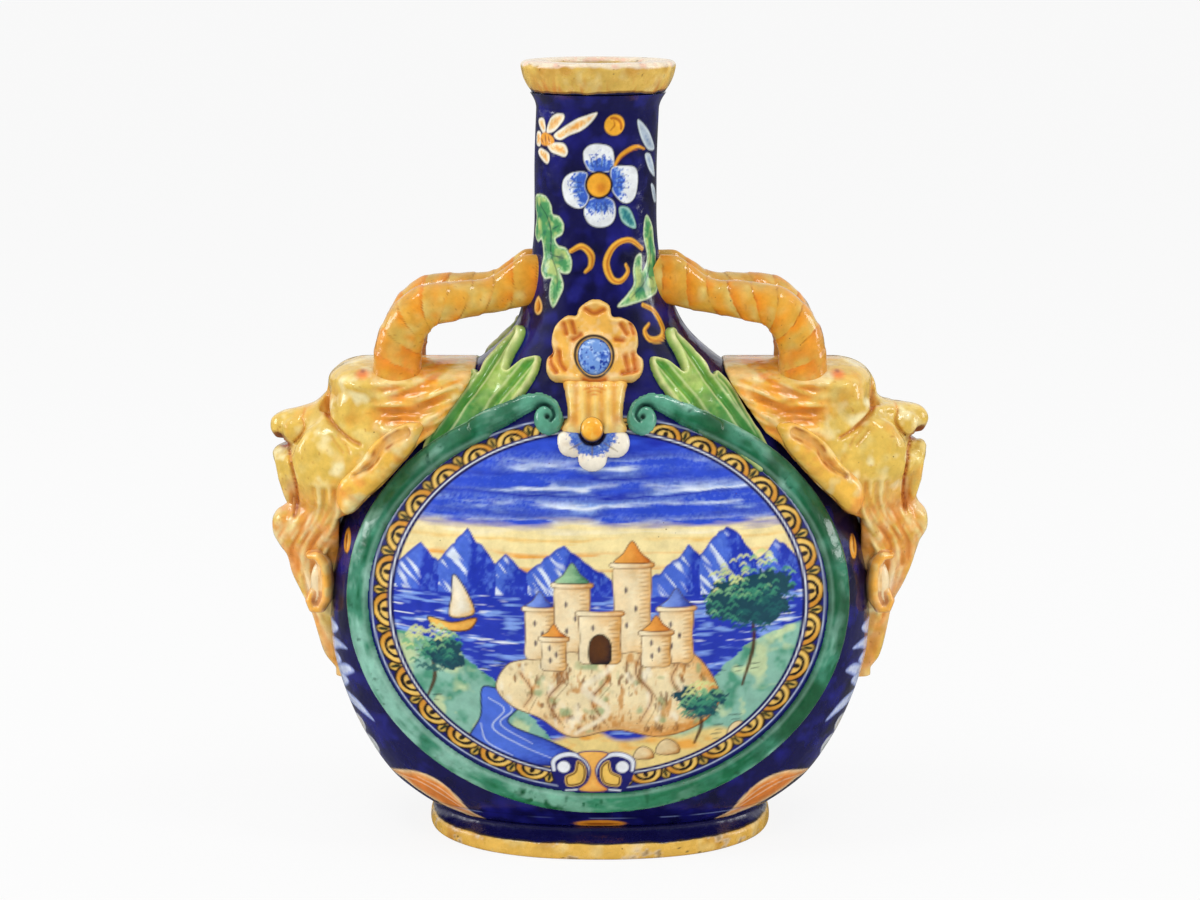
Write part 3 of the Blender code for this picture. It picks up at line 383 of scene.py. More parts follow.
def body_paint(at, side):
    """Cobalt ground with painted leaves and petals on the flanks and above the foot."""
    paint = cobalt_coat(at)
    x, z = at[:, 0] * -side, at[:, 2]
    half_width, half_depth, _ = body_section(z)
    scroll(paint, np.stack([half_width * np.arctan2(x / half_width, np.abs(at[:, 1]) / half_depth), z], -1),
           LOW_SCROLL)
    around = np.abs(x) + .6 * (half_depth - np.abs(at[:, 1]))
    q = np.stack([around, z], -1)
    for hand in (-1, 1):
        here = (x * hand > 0).astype(float)
        kept = paint.copy()
        lay(paint, cover(gap_to(q, [(193, 112), (193, 100), (191.5, 88), (189, 78), (184, 70)],
                                [3, 5, 7, 7, 4]), 3) * .45, "7482C8")
        lay(paint, cover(np.abs(around - STALK) - .8, .4) * cover(np.abs(z - 92) - 23, 1), "97A6DE")
        for i, outline in enumerate(SPRAY):
            gap = np.maximum(gap_to(q, outline, closed=True), around - STALK + 2.2 + .08 * np.abs(z - 92))
            lay(paint, cover(gap, .5) * .9, "97A6DE")
            lay(paint, cover(gap + 1.3 + .8 * noise(q, 1.5, 20 + i), .8) * .85, "D3DCEE")
            lay(paint, cover(gap + 3.2, 1.2) * .4, "6E7FCB")
        for i, outline in enumerate(PETAL_PAIR):
            gap = np.maximum(gap_to(q, outline, closed=True), 1.8 - np.abs(at[:, 1]))
            lay(paint, cover(gap, .5), "C9CDD8")
            lay(paint, cover(gap + 1.4 + .8 * noise(q, 1.6, 30 + i), .9), ("E6DEC8", "DCE0DA")[i])
            lay(paint, cover(np.abs(gap + 3.4 + .8 * noise(q, 2, 38)) - .3, .4) * .5, "7F8EC4")
        gap = gap_to(q, LONG_LEAF, closed=True)
        lay(paint, cover(gap - .6, .5), INK)
        lay(paint, cover(gap, .4), "F1CF9E")
        lay(paint, cover(gap + 1.3 + .8 * noise(q, 4, 34), .9) * .95, "E9A25A")
        lay(paint, cover(gap + 2.8 + 1.5 * noise(q, 6, 35), 1.2) * .9, "DE7C28")
        strokes(paint, q, [[(78, 18), (92, 26), (108, 32), (128, 33)],
                           [(82, 23), (94, 31), (110, 35.5)]], "F6E2BE", .7, .7)
        bead = oval_gap(around - 160.8, z - (156 if hand < 0 else 153), 4.1, 5.9, 4.1)
        lay(paint, cover(bead - .6, .4), "14102E")
        lay(paint, cover(bead, .3), "EDA23A")
        lay(paint, cover(np.abs(bead + 2.4) - .5, .5) * (around < 161) * .8, "F0CE7C")
        lay(paint, cover(gap_to(q, [(161.4, 151), (161.8, 158)], [1, 2]), .4) * .9, "7A3210")
        paint[:] = mix(kept, paint, here[:, None])
    lay(paint, cover(oval_gap(x, z - 15.4, 12.6, 2.2, 2.2), .3), "E8922E")
    lay(paint, cover(oval_gap(x, z - 15.2, 9, .7), .4) * .8, "8A3A10")
    # Round the body above the foot a crease is painted, not modelled: a dark line of painted shade and, under
    # it, a broken pale line of painted highlight
    lay(paint, cover(np.abs(z - 19.6) - .3, .3) * .5, INK)
    lay(paint, cover(np.abs(z - 18.7) - .25, .3) * held(2.5 * noise(at, 9, 36)) * .7, "8FA0D8")
    return paint


for side, end in ((-1, "front"), (1, "back")):
    outer, inner = shell_half(side, 1 if side < 0 else .66)
    points = np.concatenate([outer.reshape(-1, 3), inner.reshape(-1, 3)])
    low_rows, low_columns = outer.shape[:2]
    rows, columns = inner.shape[:2]
    out_index = np.arange(low_rows * low_columns).reshape(low_rows, low_columns)
    in_index = low_rows * low_columns + np.arange(rows * columns).reshape(rows, columns)
    faces = grid_faces(low_rows, low_columns).tolist() + grid_faces(rows, columns, out_index.size).tolist()
    for cut_out, cut_in in (((slice(None), 0),) * 2, ((slice(None), -1),) * 2, ((-1, slice(None)),) * 2,
                            ((0, slice(None)),) * 2):
        faces += zip_faces(out_index[cut_out].tolist(), in_index[cut_in].tolist())
    paint = ground(points, CREAM, "D8C49A")
    paint[:out_index.size] = body_paint(points[:out_index.size], side)
    piece("body_" + end, points, faces, paint, cobalt_glaze, fix=True)

# Medallions
# The painted field of each face: thin tin glaze on the body inside the frame ring. An oval grid
# fine enough to hold the painting; a generic landscape inside a band of eggs and darts.
# Ovals of the picture, of the band and of the whole field: middle, then half sizes
PICTURE, BAND = (-1.0, 132.0, 103.4, 85.6), (-1.0, 131.3, 116.4, 95.4)
FIELD = (-1.0, 130.6, 121.0, 101.5)
# The band's middle line, its eggs, and the drawn width of an egg and of the band
MIDLINE, EGGS, EGG_WIDE, BAND_WIDE = (-1.0, 131.6, 110, 90.5), 32, 19.6, 12.6


def field_grid(count):
    u, v = np.meshgrid(np.linspace(-1, 1, count), np.linspace(-1, 1, count))
    return np.stack([FIELD[0] + FIELD[2] * u * np.sqrt(1 - v * v / 2),
                     FIELD[1] + FIELD[3] * v * np.sqrt(1 - u * u / 2)], -1)


def form(paint, at, outline, light, shade, deep, edge=BLACK, reach=6.0, line=.35, aim=(.8, -.6)):
    """A painted body: light ground, shaded with soft strokes on the side away from the light."""
    gap = gap_to(at, outline, closed=True)
    middle = np.mean(outline, 0)
    size = np.abs(np.asarray(outline, float) - middle).max()
    turned = held(.45 + .6 * ((at - middle) / size * aim).sum(-1))
    grain = noise(at * (1, 2.2), 2.4, 8, 2)
    lay(paint, cover(gap), light)
    lay(paint, cover(gap) * held(1 + gap / reach + .25 * grain) * turned, shade)
    lay(paint, cover(gap) * held(1 + gap / (reach * .45) + .3 * grain) * turned ** 2 * .8, deep)
    lay(paint, cover(np.abs(gap) - line, .3) * .9, edge)
    return gap


def tree(paint, at, x, z, tall, wide, seed):
    """Trunk, and a crown of short dabs: dark below, green, and yellow where the light falls."""
    strokes(paint, at, [[(x - wide * .1, z), (x + 1, z + tall * .3), (x - 1, z + tall * .6)]], "4A2A12", 2.2)
    rng = np.random.default_rng(seed)
    middle, grain = z + tall * .66, noise(at, 2.6, seed, 3)
    for _ in range(6):
        cx, cz = x + wide * rng.uniform(-.3, .3), middle + tall * rng.uniform(-.16, .16)
        gap = (np.hypot((at[:, 0] - cx) / (wide * .26), (at[:, 1] - cz) / (wide * .17)) - 1) * wide * .2
        lay(paint, cover(gap + 1.8 * grain, .5), "1B4654")
    for _ in range(int(wide * 3.4)):
        turn, far = rng.uniform(0, 2 * math.pi), rng.uniform(0, 1) ** .6
        cx, cz = x + wide * .5 * far * math.cos(turn), middle + tall * .3 * far * math.sin(turn)
        light = far * (math.sin(turn) - .4 * math.cos(turn)) + rng.uniform(-.3, .3)
        code = "D6DC92" if light > .5 else "7DB884" if light > .1 else "3F8E70" if light > -.4 else "1F5C5E"
        strokes(paint, at, [[(cx - 1.7, cz - .6), (cx, cz + .8), (cx + 1.7, cz - .4)]], code, 1.2, .85)


def tower(paint, at, x, z, half, tall, roof):
    """Round tower: cream wall shaded ochre with short strokes, slit openings, a rim and a low roof."""
    wall = [(x - half, z), (x - half, z + tall * .5), (x - half, z + tall), (x, z + tall - .6),
            (x + half, z + tall), (x + half, z + tall * .5), (x + half, z), (x, z - 1)]
    form(paint, at, wall, "F3E3BC", "E6B25C", "C98534", "6A4628", half * 1.3, line=.22, aim=(1, 0))
    top = z + tall
    for k in range(int(tall / 2.2)):
        level = z + 1 + 2.2 * k
        strokes(paint, at, [[(x + half * .45, level), (x + half * .92, level + .5)]], "8A5424", .5, .6)
    rim = [(x - half - 1, top - .6), (x - half - 1, top + 1.8), (x, top + 1.4), (x + half + 1, top + 1.8),
           (x + half + 1, top - .6), (x, top - 1)]
    form(paint, at, rim, "F3E3BC", "E0A24A", "B9702A", "6A4628", 3, line=.22, aim=(1, 0))
    if roof:
        form(paint, at, [(x - half, top + 2), (x - half * .5, top + half * .7), (x, top + half * 1.35),
                         (x + half * .5, top + half * .7), (x + half, top + 2), (x, top + 1.4)],
             roof[0], roof[1], roof[2], "4A3428", half, line=.22, aim=(1, 0))
    for dx, dz in ((-.35, .72), (.2, .5), (-.3, .3)):
        slit = oval_gap(at[:, 0] - x - half * dx, at[:, 1] - z - tall * dz, .75, 1.5)
        lay(paint, cover(slit, .4) * .9, "3A3048")


def picture(paint, p):
    """A fortified town on a rock above the sea, with trees, a boat and blue hills."""
    x, z = p[:, 0], p[:, 1]
    long = noise(np.stack([x * .14, z], -1), 3.2, 11, 3)
    soft = noise(p, 1.0, 12, 2)
    lay(paint, np.ones(len(p)), "2C4BC8")
    lay(paint, .45 + 1.1 * long, "1B2CA6")
    for level, deep, much in ((203, 6, .8), (193, 4, .7), (184, 5, .95), (176, 4, .6)):
        lay(paint, held(1 - np.abs(z - level + 3 * long) / deep) * (.5 + .9 * long + .3 * soft) * much,
            "8FB0EA")
        lay(paint, held(1 - np.abs(z - level + 3 * long) / (deep * .4)) * (.3 + long) * much, "E6ECF2")
    dusk = held((176 + 2.5 * long - z) / 5)
    lay(paint, dusk, "F0DDA0")
    for level, code in ((160, "EBA850"), (167, "EBC068"), (153, "E7A048"), (171, "F2E6C0")):
        lay(paint, dusk * held(1 - np.abs(z - level + 2 * long) / 1.6) * (.5 + .8 * long), code)
    # Hills far off, then the sea
    peaks = np.array([(-90, 24, .9), (-66, 33, 1.15), (-47, 21, .8), (-18, 27, .8), (44, 25, .85),
                      (63, 36, 1.2), (88, 26, .9)])
    rises = 138 + peaks[:, 1] - peaks[:, 2] * np.abs(x[:, None] - peaks[:, 0])
    hills = rises.max(1) + 2.2 * noise(p * (1, 0), 6, 14, 3)
    sunny = cover(x - peaks[rises.argmax(1), 0] - 2.5 * noise(p * (0, 1), 4, 15, 2), 1.2)
    inside = cover(z - hills, .5)
    lay(paint, inside, "2136B0")
    lay(paint, inside * sunny * .8, "4D70D6")
    lay(paint, inside * held(.1 + 1.4 * noise(p * (1, .7), 2.2, 14, 3)) * .7, "5A7EDC")
    slope = noise(np.stack([x + z * .8, z * .25], -1), 2.6, 15, 2)
    lay(paint, inside * sunny * held(2.4 * slope - .3) * held((hills - z) / 3), "D8E2F0")
    lay(paint, inside * held((z - hills + 2) / 1.6) * .5, "182788")
    sea = cover(z - 139 - .5 * long, .5)
    lay(paint, sea, "2337B0")
    lay(paint, sea * held(1.6 * noise(np.stack([x * .16, z], -1), 1.7, 16, 2) - .15), "7FA0E6")
    lay(paint, sea * held(2.2 * noise(np.stack([x * .12, z], -1), 1.3, 17, 2) - .9), "E4EAF0")
    # Boat
    form(paint, p, [(-86, 126), (-74, 124), (-62, 127), (-65, 121), (-74, 119.5), (-83, 121)], "F0BE5A",
         ORANGE, BROWN, reach=3)
    form(paint, p, [(-75, 127), (-74, 138), (-73, 148), (-66, 139), (-63, 129)], "F4ECD6", "E3C27A", OCHRE,
         reach=5)
    # Land: teal banks with short dark strokes, ochre ground below
    bank = np.max([118 - .0085 * (x + 104) ** 2 + 2 * long, 122 - .011 * (x - 104) ** 2 + 2 * long], 0)
    land = cover(z - bank, .5)
    lay(paint, land, "86B8A4")
    lay(paint, land * held(.2 + 1.3 * noise(p, 8, 18, 3)), "4C9478")
    lay(paint, land * held(1.5 * noise(p, 10, 19, 3) - .2), "BFD2A2")
    low = cover(z - 66 - 5 * noise(p * (1, 0), 22, 20, 2), 1.5)
    lay(paint, low, "E8CE84")
    lay(paint, low * held(1.5 * noise(p * (.4, 1), 4, 21, 2)), "EBA94A")
    rng = np.random.default_rng(5)
    for _ in range(34):
        sx, sz = rng.uniform(-96, 94), rng.uniform(52, 112)
        if abs(sx) > 50 or sz < 66:
            strokes(paint, p, [[(sx, sz), (sx + rng.uniform(4, 8), sz + rng.uniform(-1, 1))]], "17323A",
                    .65, .85)
            strokes(paint, p, [[(sx + 1, sz - 2.6), (sx + rng.uniform(3, 6), sz - 2.4)]], "17323A", .55, .8)
    # River, drawn like a fold of deep blue between pale banks
    river = [(-58, 92), (-40, 84), (-46, 73), (-26, 64), (-12, 57), (-6, 51), (-30, 50), (-56, 53),
             (-66, 62), (-60, 76)]
    form(paint, p, river, "4C70DA", "2136AE", "131C74", "101038", 9, .4)
    strokes(paint, p, [[(-56, 86), (-48, 80), (-54, 70), (-40, 61), (-24, 54)],
                       [(-50, 88), (-44, 80), (-50, 72), (-34, 62)],
                       [(-60, 72), (-57, 62), (-44, 55)]], "D6E2F4", .7, .8)
    # Rock and town
    rock = [(-52, 92), (-46, 104), (-34, 108), (-30, 116), (-14, 118), (4, 116), (20, 120), (34, 112),
            (46, 110), (56, 98), (60, 84), (50, 72), (30, 66), (8, 70), (-14, 66), (-30, 76), (-44, 82)]
    form(paint, p, rock, "F0DDAE", "E6AC56", "CC7C2C", "5A3A1E", 16, .3)
    on_rock = cover(gap_to(p, rock, closed=True) + 1.5, 1)
    for tall, size, seed, detail, less, much, code in (
            (.45, 3.4, 22, 3, .5, .8, "C98A40"), (.4, 2.6, 23, 3, .9, .8, "7A4A20"),
            (.6, 4.4, 24, 2, .6, .8, "FAF0D4"), (1, 6, 25, 2, .8, .7, "86A878")):
        lay(paint, on_rock * held(2 * noise(p * (1, tall), size, seed, detail) - less) * much, code)
    for line in ([(-40, 100), (-34, 90), (-38, 82)], [(-22, 112), (-18, 98), (-26, 86), (-20, 74)],
                 [(0, 112), (4, 98), (-4, 86), (2, 74)], [(22, 114), (18, 100), (26, 88), (20, 74)],
                 [(40, 106), (36, 96), (44, 84)]):
        strokes(paint, p, [line], "C0742A", 2.2, .6, 1.2)
        strokes(paint, p, [line], "5A3212", .6, .8)
        strokes(paint, p, [[(a + 2.4, b - 3) for a, b in line[1:]]], "7A4A20", .5, .7)
    strokes(paint, p, [[(-12, 68), (4, 80), (-8, 92), (6, 104), (-2, 116)]], "F4E8C8", 3.4, .8, .8)
    fire, slate = ("F0A84C", ORANGE, "A84A16"), ("7E9CE6", "2C48BE", "17206E")
    mint = ("A9CFA0", "4E9A6E", "17523E")
    for placed in ((-30, 108, 7, 24, slate), (38, 106, 8, 26, slate), (16, 112, 9, 42, fire),
                   (-14, 112, 8.5, 32, mint), (0, 106, 10, 24, None), (28, 104, 7, 16, fire),
                   (-23, 102, 6, 15, fire)):
        tower(paint, p, *placed)
    form(paint, p, [(-5, 106), (-5, 116), (0, 120), (5, 116), (5, 106), (0, 105)], "5A3416", "2A1A20",
         "100C18", reach=4)
    for placed in ((76, 92, 72, 46, 3), (-84, 84, 40, 30, 4), (50, 62, 34, 24, 6)):
        tree(paint, p, *placed)
    for cx, cz, r in ((-80, 66, 7), (-70, 61, 5.5), (84, 74, 7), (70, 68, 6), (22, 57, 5), (34, 60, 6)):
        form(paint, p, [(cx - r, cz - r * .5), (cx - r * .7, cz + r * .4), (cx, cz + r * .75),
                        (cx + r * .8, cz + r * .3), (cx + r, cz - r * .5), (cx, cz - r * .7)], "E8D2A2",
             "D79C48", "A0602A", "4A3018", r * .8, .25)


def field_paint(p):
    paint = ground(p, "2A46C4", "1B2CA6", size=6)
    picture(paint, p)
    k0, k1 = (np.hypot((p[:, 0] - c[0]) / c[2], (p[:, 1] - c[1]) / c[3]) for c in (PICTURE, BAND))
    t = (k0 - 1) / np.maximum(np.maximum(k0 - 1, 0) + np.maximum(1 - k1, 0), 1e-6)
    t = np.where(k0 < 1, (k0 - 1) / np.maximum(1 - k1, 1e-6), np.where(k1 > 1, 1.5, t))
    turn = np.linspace(-math.pi, math.pi, 2001)
    ring = np.stack([MIDLINE[2] * np.cos(turn), MIDLINE[3] * np.sin(turn)], -1)
    long = np.concatenate([[0], np.cumsum(np.linalg.norm(np.diff(ring, axis=0), axis=1))])
    here = np.arctan2((p[:, 1] - MIDLINE[1]) / MIDLINE[3], (p[:, 0] - MIDLINE[0]) / MIDLINE[2])
    travel = np.interp(here, turn, long) * EGGS / long[-1]
    wobble = .03 * noise(p, 14, 41)
    s = ((travel + wobble + .25) % 1 - .5) * EGG_WIDE
    across = (t - .22) * BAND_WIDE
    band = cover((.02 - t) * 12, .3) * (t < 1.6)
    lay(paint, band, "17186A")
    lay(paint, band * held(noise(p, 5, 42, 2)) * .6, "2A36A0")
    # Between two eggs a small dart on a yellow tongue, then the eggs: three bands with dark lines
    above = cover(-across, .25) * (t > 0)
    aside = EGG_WIDE / 2 - np.abs(s)
    tongue = oval_gap(aside, across - 3.4, 2.6, 4.2, 2.6)
    lay(paint, above * cover(tongue, .3), "D8AE4E")
    lay(paint, above * cover(np.abs(tongue) - .35, .3), "1C1A12")
    lay(paint, above * cover(oval_gap(aside, across - 4, .8, 2.8), .3), "26301C")
    dome = oval_gap(s, across, 8.9, 8, 8.2)
    lay(paint, above * cover(dome, .3), "DFA63E")
    lay(paint, above * cover(dome + .9, .5) * held(.5 + s / 9), "EDC466")
    lay(paint, above * cover(dome + .3, .4) * held(.2 - s / 10), "CF8A2C")
    arch = oval_gap(s, across, 5.2, 5, 5.1)
    slit = oval_gap(s, across - 1.5, 1.3, 2.4, 1.5)
    worn = .25 * noise(p, 2.2, 43)
    lay(paint, above * cover(arch, .3) * .6, "EBC468")
    lay(paint, above * cover(np.abs(arch) - .8 - worn, .3), "1E160E")
    lay(paint, above * cover(slit, .35), "241A10")
    lay(paint, above * cover(np.abs(dome) - .55 - worn, .3), "1C1614")
    for level, half, code in ((.04, .9, "111152"), (.14, .4, "E3E8EE"), (.225, .55, "111152"),
                              (.9, .34, "C6D2E8"), (.97, .5, "15206E")):
        lay(paint, cover(np.abs(t - level) * BAND_WIDE - half, .4) * (t > -.5) * (t < 1.2), code)
    lay(paint, (k1 > 1).astype(float), "14145C")
    # The two ends of the band, rolled up as a pair of scrolls below
    for hand in (1, -1):
        q = np.stack([(p[:, 0] + 3.5) * hand, p[:, 1]], -1)
        inside = [(19.7, 47.5), (19.7, 53), (16, 55.8), (10.3, 56.2), (4.3, 53.2), (1.5, 47.3), (2.6, 41),
                  (6.8, 36.8), (13.7, 36), (18, 41)]
        lay(paint, cover(gap_to(q, inside, closed=True) - 1), "17186A")
        egg = gap_to(q, [(4, 50), (8, 53), (9.5, 47), (14, 44), (13, 38.5), (6, 39.5), (3.6, 44)],
                     closed=True)
        lay(paint, cover(egg), "ECC05C")
        lay(paint, cover(np.abs(egg + .9) - .4, .3), "5A3414")
        path = [(19.7, 47.6), (19.9, 52.4), (16.2, 55.6), (10.3, 56.4), (4.3, 53.4), (1.4, 47.3),
                (2.6, 41.1), (6.8, 37), (13.7, 36)]
        lay(paint, cover(gap_to(q, path, 3.2)), "17186A")
        lay(paint, cover(gap_to(q, path, [1.6, 2.2, 2.2, 1.5, 1.1, .9, .9])), "E3E8F0")
        lay(paint, cover(np.hypot(q[:, 0] - 14.8, q[:, 1] - 49.2) - 4.2), "17186A")
        lay(paint, cover(np.hypot(q[:, 0] - 14.8, q[:, 1] - 49.4) - 3.2), "E9ECF0")
    spindle = [(-11, 57), (-3.5, 58.4), (4, 57), (-.3, 52.5), (-2.2, 47.3), (-.3, 41), (4, 36.4),
               (-3.5, 35), (-11, 36.4), (-6.7, 41), (-4.8, 47.3), (-6.7, 52.5)]
    form(paint, p, spindle, "F3B85A", "E9923A", ORANGE, "2A2A70", 3, .4)
    return paint


for side, end in ((-1, "front"), (1, "back")):
    count, few = (301 if side < 0 else 221), 31
    fine, rough = field_grid(count).reshape(-1, 2), field_grid(few).reshape(-1, 2)
    points = np.concatenate([face(fine[:, 0], fine[:, 1], .5, side),
                             face(rough[:, 0], rough[:, 1], -.4, side)])
    faces = grid_faces(count, count).tolist() + grid_faces(few, few, count * count).tolist()
    rim = [np.concatenate([i[0, :-1], i[:-1, -1], i[-1, :0:-1], i[:0:-1, 0], i[0, :1]]) for i in
           (np.arange(count ** 2).reshape(count, count), count ** 2 + np.arange(few ** 2).reshape(few, few))]
    faces += zip_faces(rim[0].tolist(), rim[1].tolist())
    paint = np.concatenate([field_paint(fine if side < 0 else fine * (-1, 1)),
                            np.tile(linear(CREAM), (len(rough), 1))])
    piece("medallion_" + end, points, faces, paint, painted_glaze, ["body_" + end], fix=True)

# Foot ring
# Low oval coil: a worn yellow rim that it stands on, under a hollow waist in cobalt.
yellow_glaze = glaze("worn_yellow_glaze", gloss=.2, mottle=.16, specks=.9, ripple=.4, worn=.12)


def swept(rows, columns, place):
    """Rings of points: one for each row of the profile, with place giving the ring."""
    return np.array([place(row, np.arange(columns) * 2 * math.pi / columns) for row in rows])


def coil_faces(rows, columns):
    """Faces of a coil: rows of points all the way round, the last row joined to the first."""
    last = (rows - 1) * columns
    return grid_faces(rows, columns, wrap=True).tolist() + [
        (i, (i + 1) % columns, (i + 1) % columns + last, i + last) for i in range(columns)]


def foot_row(row, turn):
    level, width, depth = row
    x, y = oval(width / 2, depth / 2, 2.25, turn)
    at = np.stack([x, y, max(level, 0) + 0 * x], -1)
    return at * np.concatenate([1 + .004 * noise(at, 23, 61)[:, None]] * 2 + [np.ones((len(x), 1))], 1)


# Height, width and depth round the coil
profile = curve([(0, 146, 98), (0, 162, 126), (0, 174, 145), (.6, 178, 149), (2, 179.4, 150.4),
                 (4.2, 179.6, 150.6), (6.6, 179, 150), (8, 177.4, 148.2), (8.6, 175.6, 145.6),
                 (9.4, 174.2, 139), (10.8, 173.3, 131.5), (12.4, 173, 127.4), (13.7, 173, 126),
                 (13.7, 160, 112), (13.7, 147, 99), (12.5, 146, 98), (7, 146, 98)], closed=True, per=4)
points = swept(profile, 360, foot_row)
at = points.reshape(-1, 3)
paint = ground(at, "E3B44E", "EBC878", "C78F34", size=9)
worn = noise(at, 7, 62, 3)
lay(paint, cover((.72 - worn) * 4, .6), "E9D2AE")
lay(paint, cover((.86 - worn) * 4, .5), "A98A5A")
spots = noise(at, 1.5, 63, 2)
lay(paint, cover((1.02 - spots) * 5, .4), "3A2A1A")
edge = 8.3 + .5 * noise(at * (1, 1, 0), 9, 64, 3)
outside = oval_gap(at[:, 0], at[:, 1], 80, 56) > 0
lay(paint, cover(edge - at[:, 2], .3) * outside, "14124A")
lay(paint, cover(np.abs(edge - at[:, 2]) - .25, .25) * outside, "0A0820")
lay(paint, (at[:, 2] < .4).astype(float), "C9A27A")
piece("foot_ring", at, coil_faces(*points.shape[:2]), paint, yellow_glaze, fix=True)

# Neck
# Thrown tube that flares into the shoulder, cobalt, painted with flowers, leaves and scrolls in
# white, blue, green and ochre. It leans a little to the left: share of its height, share of the lean.
LEAN = [(0, 0), (.3, 1), (.66, 1), (1, .4)]
# Petals of the half flower, petals of the whole one, and the green leaves at its sides: arc, height
HALF_FLOWER = ([(-23.7, 363.4), (-18.2, 367.4), (-10.9, 371.8), (-6.1, 373.7), (-.1, 375.3), (-3.3, 370.1),
                (-8, 366.3), (-14, 363.9), (-19.4, 361.3)],
               [(-29.4, 365), (-27.1, 371.1), (-23, 374.1), (-18.2, 374.3), (-17.7, 371.6), (-21.8, 366.8),
                (-25.7, 364.7)],
               [(-28.6, 359), (-23, 359.8), (-17.2, 359.6), (-14.7, 356), (-16.1, 353.1), (-20.6, 353.9),
                (-25.7, 355.4)],
               [(-33, 364.3), (-38.9, 369.5), (-36.1, 371.5), (-32, 370.9), (-30.2, 365.4)],
               [(-34, 356.3), (-27.2, 354.4), (-26.4, 350.7), (-28.7, 348.9), (-35.2, 352), (-37.6, 354.6)],
               [(-35, 364.1), (-40.7, 363.8), (-40.8, 358.1), (-35.1, 357.6)])
FOUR_PETALS = ([(-6.1, 352.5), (-6.1, 356.2), (-3.3, 359), (1.3, 359.7), (6.5, 358.5), (8.9, 355.2),
                (9.1, 347.8), (5.5, 345.6), (-2.4, 346.1), (-5.2, 349.7)],
               [(8.4, 347.8), (15.9, 348.5), (21.6, 347.3), (23.5, 342.5), (22.3, 334.2), (18.7, 330.2),
                (13.9, 330.4), (8.9, 335.7), (7.9, 341.3)],
               [(-4.3, 331.2), (2.3, 333.5), (7.9, 332), (10.1, 328.3), (9.9, 322.7), (7, 319), (1.3, 318),
                (-3.3, 320), (-5.7, 324.6), (-5.2, 328.8)],
               [(-4.3, 345.1), (-11, 345.4), (-16.1, 342.5), (-17.6, 337.3), (-15.6, 330.8), (-10, 327.5),
                (-5.7, 328.4), (-3.3, 333.1), (-5.2, 338.6)])
NECK_LEAVES = ([(-41.4, 331.9), (-30.4, 332.7), (-25.1, 328.4), (-23.8, 323.8), (-19.5, 322.7),
                (-16.7, 318.6), (-17.8, 313.9), (-21.9, 311.3), (-20.1, 308.2), (-15.1, 306.7),
                (-12.2, 300.3), (-13.5, 294.8), (-18.2, 294.5), (-19.4, 295.8), (-17.1, 288.2),
                (-20.2, 281.7), (-24.1, 276.9), (-26.3, 281.2), (-25.7, 287.6), (-24.6, 291.3),
                (-29.3, 290.9), (-32.4, 295.2), (-30.8, 302.7), (-33, 309.9), (-37.2, 308.6),
                (-42.7, 312.9), (-40, 320.7), (-42.5, 326.2)],
               [(30.2, 322.8), (36.9, 316.3), (38.5, 307.8), (40, 302.2), (37.7, 285.8), (31.2, 281.7),
                (22.2, 279.7), (10.3, 277.8), (15.8, 283.7), (20.2, 288.9), (20.3, 296.2), (22.2, 302.5),
                (26, 303.1), (26.4, 294.8), (30.4, 301.8), (27.7, 313.2)])


def neck_ring(row, turn):
    level, radius, depth = row
    lean = 2.3 * smooth(LEAN, np.array((level - 262) / 122))
    return np.stack([radius * np.cos(turn) - lean, depth * np.sin(turn), level + 0 * turn], -1)


